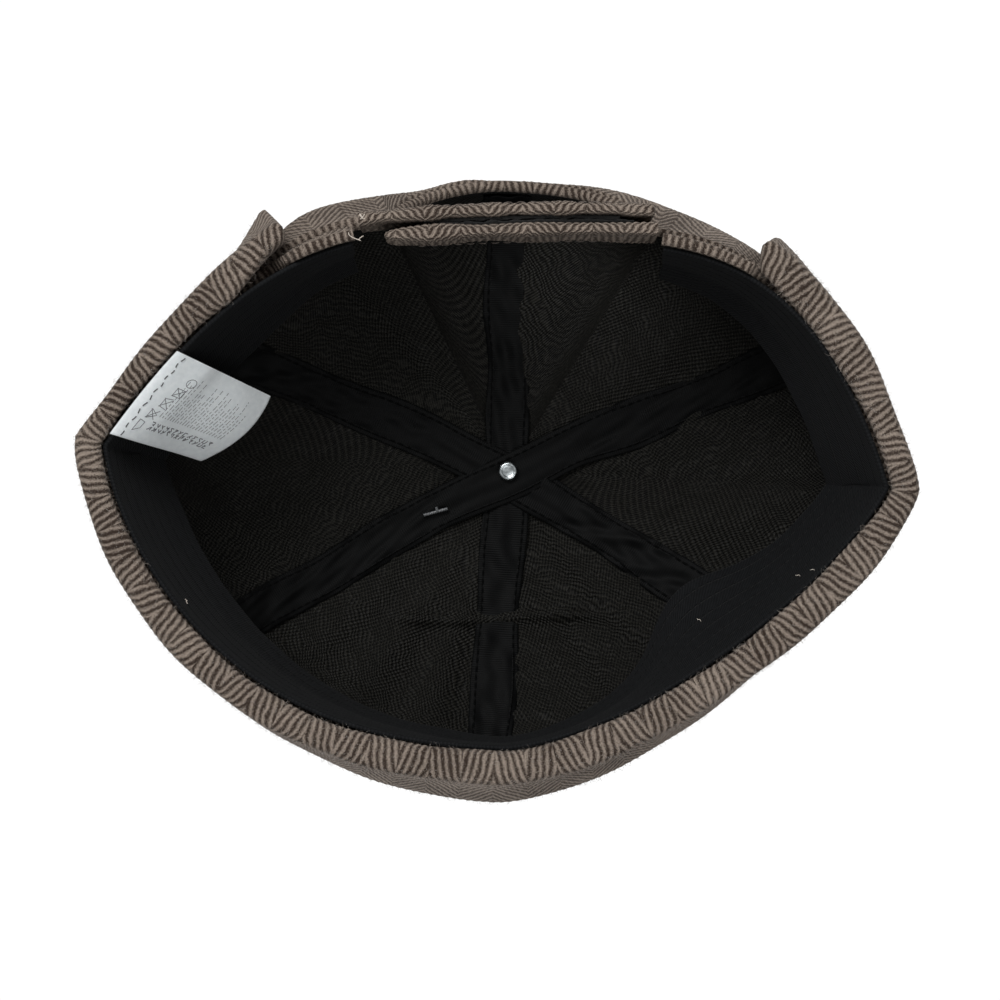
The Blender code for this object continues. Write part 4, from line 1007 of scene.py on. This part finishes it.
# ---------------------------------------------------------------- care label
# A slip of white satin folded into the seam at the side, its free end curling. It is sewn down
# by a row of dark stitches, and printed with plain care symbols and lines that say nothing.
LABEL_WIDTH = 0.0290
LABEL_LENGTH = 0.0400
LABEL_TILT = math.radians(51.0)
LABEL_ENDS = np.radians([5.2, 19.7])
label_way = unit(np.array([-0.90, -0.437, 0.0]))


def satin_recipe():
    """White printed satin ribbon: fine lengthwise yarns with a soft shine."""
    r = Recipe("white_satin")
    along, across = r.weave_axes()
    yarn = r.wave(along, 0.00028)
    slub = r.noise(600.0, 3.0)
    share = r.range(r.math("ADD", r.math("MULTIPLY", yarn, 0.15), slub), 0.2, 0.8)
    r.set(Base_Color=r.mix(share, (0.74, 0.79, 0.81, 1.0), (0.90, 0.94, 0.95, 1.0)), Roughness=0.42)
    r.set(Sheen_Weight=0.3, Anisotropic=0.4)
    r.bump(yarn, 0.00006)
    return r.material


satin = satin_recipe()


def label_point(u, v, lift=0.0):
    """The label's surface at u across and v along it, both 0 to 1.

    It leaves the seam nearly level, then rises at LABEL_TILT, and its middle bellies down and inwards.
    """
    u, v = np.broadcast_arrays(np.asarray(u, dtype=float), np.asarray(v, dtype=float))
    direction = LABEL_ENDS[0] + (LABEL_ENDS[1] - LABEL_ENDS[0]) * u
    foot, _ = rim_points(direction, np.full(u.shape, 0.0007), -0.0012)
    steps = np.linspace(0.0, 1.0, 201)
    slopes = LABEL_TILT - math.radians(38.0) * np.exp(-steps[1:] * LABEL_LENGTH / 0.0035)
    inward = np.concatenate([[0.0], np.cumsum(np.cos(slopes))]) * LABEL_LENGTH / 200.0
    upward = np.concatenate([[0.0], np.cumsum(np.sin(slopes))]) * LABEL_LENGTH / 200.0
    run = np.interp(v, steps, inward)
    climb = np.interp(v, steps, upward)
    belly = 0.0046 * v * (1.0 - (2.0 * u - 1.0) ** 2) + 0.0007 * np.sin(7.0 * v + 4.0 * u) * v
    belly = belly + 0.0010 * np.exp(-(((v - 0.30) / 0.10) ** 2)) * u
    face = np.array([0.8 * label_way[0], 0.8 * label_way[1], -0.6])
    way = unit(label_way * np.array([1.0, 1.0, 0.0]) + np.array([-0.05, 0.13, 0.0]) * (1.0 - u)[..., None])
    reach = 0.86 + 0.14 * u
    point = foot + way * (run * reach)[..., None] + np.array([0.0, 0.0, 1.0]) * climb[..., None]
    return point + face * (belly - lift)[..., None]


def hang(piece):
    """The piece's placement is baked into its mesh points."""
    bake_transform(piece)


label_v, label_u = np.meshgrid(np.linspace(0.0, 1.0, 80), np.linspace(0.0, 1.0, 60), indexing="ij")
label_uv = np.stack([label_u * LABEL_WIDTH, label_v * LABEL_LENGTH], axis=-1)
label_low = label_point(label_u, label_v, -0.0002)
label_high = label_point(label_u, label_v, 0.0002)
label = cloth("satin_care_label", label_low, label_high, label_uv, satin)
hang(label)
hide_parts("care_label")


def strokes(name, paths, radius, material, sides):
    """Thin closed tubes along several paths, joined in one mesh."""
    points, faces, base = [], [], 0
    for path in paths:
        path = np.asarray(path)
        ahead = unit(np.gradient(path, axis=0))
        level = unit(np.cross(ahead, np.array([0.31, 0.17, 0.93])))
        upright = np.cross(level, ahead)
        ring = np.linspace(0.0, 2.0 * math.pi, sides, endpoint=False)
        skin = path[:, None, :] + radius * (level[:, None, :] * np.cos(ring)[None, :, None]
                                            + upright[:, None, :] * np.sin(ring)[None, :, None])
        faces += [base + part for part in tube_faces(len(path), sides)]
        points.append(np.concatenate([skin.reshape(-1, 3), path[:1], path[-1:]]))
        base += len(path) * sides + 2
    points = np.concatenate(points)
    return finish_mesh(name, points, faces, points[:, :2], material)


def ink_recipe():
    """Dull grey printing ink."""
    r = Recipe("printed_ink")
    share = r.range(r.noise(2500.0, 2.0), 0.3, 0.7)
    r.set(Base_Color=r.mix(share, (0.05, 0.05, 0.055, 1.0), (0.13, 0.13, 0.14, 1.0)), Roughness=0.8)
    return r.material


ink = ink_recipe()


def on_label(outline, place, size, lift=-0.00022, fine=8):
    """A drawn outline of unit size, set on the label at a place and scaled, as a path of close points."""
    outline = np.asarray(outline, dtype=float)
    steps = np.linspace(0.0, len(outline) - 1.0, (len(outline) - 1) * fine + 1)
    x = np.interp(steps, np.arange(len(outline)), outline[:, 0])
    y = np.interp(steps, np.arange(len(outline)), outline[:, 1])
    u = place[0] + x * size / LABEL_WIDTH
    v = place[1] + y * size / LABEL_LENGTH
    return label_point(u, v, lift)


circle = [(math.cos(a) * 0.5, math.sin(a) * 0.5) for a in np.linspace(0.0, 2.0 * math.pi, 17)]
tub = [(-0.6, 0.4), (-0.45, -0.4), (0.45, -0.4), (0.6, 0.4)]
triangle = [(-0.5, -0.4), (0.0, 0.5), (0.5, -0.4), (-0.5, -0.4)]
square = [(-0.45, -0.45), (0.45, -0.45), (0.45, 0.45), (-0.45, 0.45), (-0.45, -0.45)]
iron = [(-0.6, -0.35), (0.6, -0.35), (0.45, 0.3), (-0.2, 0.3), (-0.6, -0.35)]
cross = [(-0.5, -0.5), (0.5, 0.5)], [(-0.5, 0.5), (0.5, -0.5)]
marks = []
for number, shape in enumerate((iron, triangle, tub, square, circle)):
    place = (0.16 + 0.145 * number, 0.150 + 0.028 * number)
    marks.append(on_label(shape, place, 0.0030))
    if number in (1, 2, 3):
        marks.extend(on_label(arm, place, 0.0030) for arm in cross)
print_source = np.random.default_rng(5)
for row in range(24):
    start, ragged = 0.30, 0.50 + 0.34 * print_source.random()
    while start < ragged:
        end = start + 0.015 + 0.05 * print_source.random()
        marks.append(label_point(np.linspace(start, end, 4), 0.245 + 0.027 * row, -0.00020))
        start = end + 0.018
bold = []
for row in range(13):
    for column in (0.165, 0.215):
        corners = np.array([(-0.5, -0.5), (-0.5, 0.5), (0.5, 0.5), (0.5, -0.5), (0.0, 0.0)])
        picked = corners[print_source.permutation(5)[:4]]
        bold.append(on_label(picked, (column, 0.245 + 0.050 * row), 0.0011, fine=3))
hang(strokes("label_print", marks, 0.00009, ink, 4))
hang(strokes("label_print_bold", bold, 0.00014, ink, 4))

seam = np.linspace(0.02, 0.98, 60)
wavy_seam = label_point(seam, 0.072 + 0.008 * np.sin(seam * 34.0), -0.0002)
hang(strokes("label_stitches", [wavy_seam[i:i + 4] for i in range(0, 56, 5)], 0.00019, dark_thread, 5))

# ---------------------------------------------------------------- tag fastener
# A small milky plastic T that is left in the tape from a removed hanging ticket.


def plastic_recipe():
    """Milky nylon."""
    r = Recipe("milky_nylon")
    share = r.range(r.noise(700.0, 2.0), 0.3, 0.7)
    r.set(Base_Color=r.mix(share, (0.085, 0.090, 0.094, 1.0), (0.14, 0.145, 0.15, 1.0)), Roughness=0.35)
    r.set(Transmission_Weight=0.15, IOR=1.5)
    r.bump(share, 0.00005)
    return r.material


plastic = plastic_recipe()
tag_low, tag_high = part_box("tag_fastener")
tag_centre = np.array(0.5 * (tag_low + tag_high))
TAG_BAR = 0.0078
TAG_STEM = 0.0014
tag_way = unit(np.array([-0.965, 0.262, 0.0]))
tag_side = np.array([-0.262, -0.965, 0.0])
bar_share = np.linspace(-0.5, 0.5, 24)[:, None]
bar_path = tag_centre + tag_way * TAG_BAR * bar_share + np.array([0.0, 0.0, 0.0003]) * np.cos(bar_share * 3.0)
stem_path = tag_centre + tag_way * 0.0006 - tag_side * TAG_STEM * np.linspace(0.0, 1.0, 10)[:, None]
tag = strokes("tag_fastener_moulded", [bar_path, stem_path], 0.00048, plastic, 12)
fit(tag, "cap", "clear_plastic", "tag_fastener")

# ---------------------------------------------------------------- loose fibres and lint
# The brushed wool's loose hairs, which soften every outline, a curl of cut thread by the strap's
# root, and a few specks of lint on the sweatband.


def hair_recipe():
    """Loose wool hairs, brown to beige."""
    r = Recipe("wool_hairs")
    share = r.range(r.noise(400.0, 1.0), 0.35, 0.65)
    r.set(Base_Color=r.mix(share, (0.10, 0.075, 0.060, 1.0), (0.36, 0.31, 0.26, 1.0)), Roughness=0.9)
    r.set(Sheen_Weight=0.5)
    return r.material


hair = hair_recipe()


def grid_normals(points):
    """Outward directions of a grid of points whose rows and columns turn left about them."""
    return unit(np.cross(np.gradient(points, axis=1), np.gradient(points, axis=0)))


def fuzz(name, points, normals, count, seed, body, longest=0.0022, thick=0.00004):
    """Curved three-sided hairs that spring from random places of a grid and lie back over it."""
    source = np.random.default_rng(seed)
    flat_points, flat_normals = points.reshape(-1, 3), normals.reshape(-1, 3)
    chosen = source.integers(0, len(flat_points), count)
    root, out = flat_points[chosen], flat_normals[chosen]
    wander = unit(source.normal(size=(count, 3)))
    wander = unit(wander - out * np.sum(wander * out, axis=1, keepdims=True))
    length = longest * (0.35 + 0.65 * source.random(count))[:, None]
    curl = unit(source.normal(size=(count, 3)))
    share = np.array([-0.1, 0.35, 0.7, 1.0])
    centre = (root[:, None, :] + out[:, None, :] * (share * 0.62)[None, :, None] * length[:, None]
              + wander[:, None, :] * (share**2 * 0.75)[None, :, None] * length[:, None]
              + curl[:, None, :] * (np.sin(share * 3.0) * 0.18)[None, :, None] * length[:, None])
    ahead = unit(np.gradient(centre, axis=1))
    side = unit(np.cross(ahead, wander[:, None, :] + 0.3 * out[:, None, :]))
    other = np.cross(ahead, side)
    taper = np.array([1.0, 0.9, 0.6, 0.25])[None, :, None, None] * thick
    ring = np.array([0.0, 2.0, 4.0]) * math.pi / 3.0
    skin = centre[:, :, None, :] + taper * (side[:, :, None, :] * np.cos(ring)[None, None, :, None]
                                            + other[:, :, None, :] * np.sin(ring)[None, None, :, None])
    i = np.arange(count * 12).reshape(count, 4, 3)
    j = np.roll(i, -1, axis=2)
    faces = [quads(i[:, :-1], j[:, :-1], j[:, 1:], i[:, 1:]), i[:, 0][:, ::-1], i[:, 3]]
    flat = skin.reshape(-1, 3)
    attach(finish_mesh(name, flat, faces, flat[:, :2], hair), body)


cuff_normal = unit(np.cross(np.gradient(cuff_points, axis=0),
                            np.roll(cuff_points, -1, axis=1) - np.roll(cuff_points, 1, axis=1)))
cuff_share = np.s_[10:-10, :]
fuzz("cuff_hairs", cuff_points[cuff_share], cuff_normal[cuff_share], 9000, 91, "cap")
fuzz("band_hairs", high[:, 3:-3], grid_normals(high)[:, 3:-3], 1200, 92, "cap", 0.0016)

curl_at = np.linspace(0.0, 1.0, 60)[:, None]
curl_path = np.concatenate([
    0.0422 - 0.0042 * curl_at + 0.0008 * np.sin(9.0 * curl_at), 0.0756 - 0.0030 * np.sin(2.6 * curl_at),
    0.0012 - 0.0018 * np.sin(math.pi * curl_at)], axis=1)
knot_turn = np.linspace(0.0, 5.0 * math.pi, 60)[:, None]
knot_path = np.concatenate([0.0386 + 0.0007 * np.cos(knot_turn), 0.0795 + 0.0007 * np.sin(knot_turn * 1.3),
                            0.0010 + 0.0004 * np.sin(knot_turn * 0.7)], axis=1)
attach(strokes("cut_thread_curl", [curl_path, knot_path], 0.00014, pale_thread, 6), "cap")


def on_sweatband(angle, share, slant, length):
    """A short crooked line on the sweatband's inner face, from a direction and a share of its height."""
    steps = np.linspace(-0.5, 0.5, 9)
    column = np.interp(angle, sweat_theta[0], np.arange(sweat_theta.shape[1]))
    row = share * (sweat_low.shape[0] - 1)
    columns = np.clip(np.round(column + steps * length * 1244.0 * math.cos(slant)), 0, 799).astype(int)
    rows = np.clip(row + steps * length * 1800.0 * math.sin(slant), 0, 59)
    low_row = np.floor(rows).astype(int)
    part = (rows - low_row)[:, None]
    line = sweat_low[low_row, columns] * (1.0 - part) + sweat_low[np.minimum(low_row + 1, 59), columns] * part
    return line - sweat_out[low_row, columns] * (0.00025 + 0.0002 * np.cos(steps * 9.0))[:, None]


LINT = ((201.7, 0.25, 1.2, 0.0030), (199.5, 0.12, 1.4, 0.0026), (221.0, 0.60, 1.0, 0.0022),
        (337.0, 0.20, 0.6, 0.0016))
lint = [on_sweatband(math.radians(angle), *rest) for angle, *rest in LINT]
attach(strokes("lint", lint, 0.00010, pale_thread, 5), "cap")
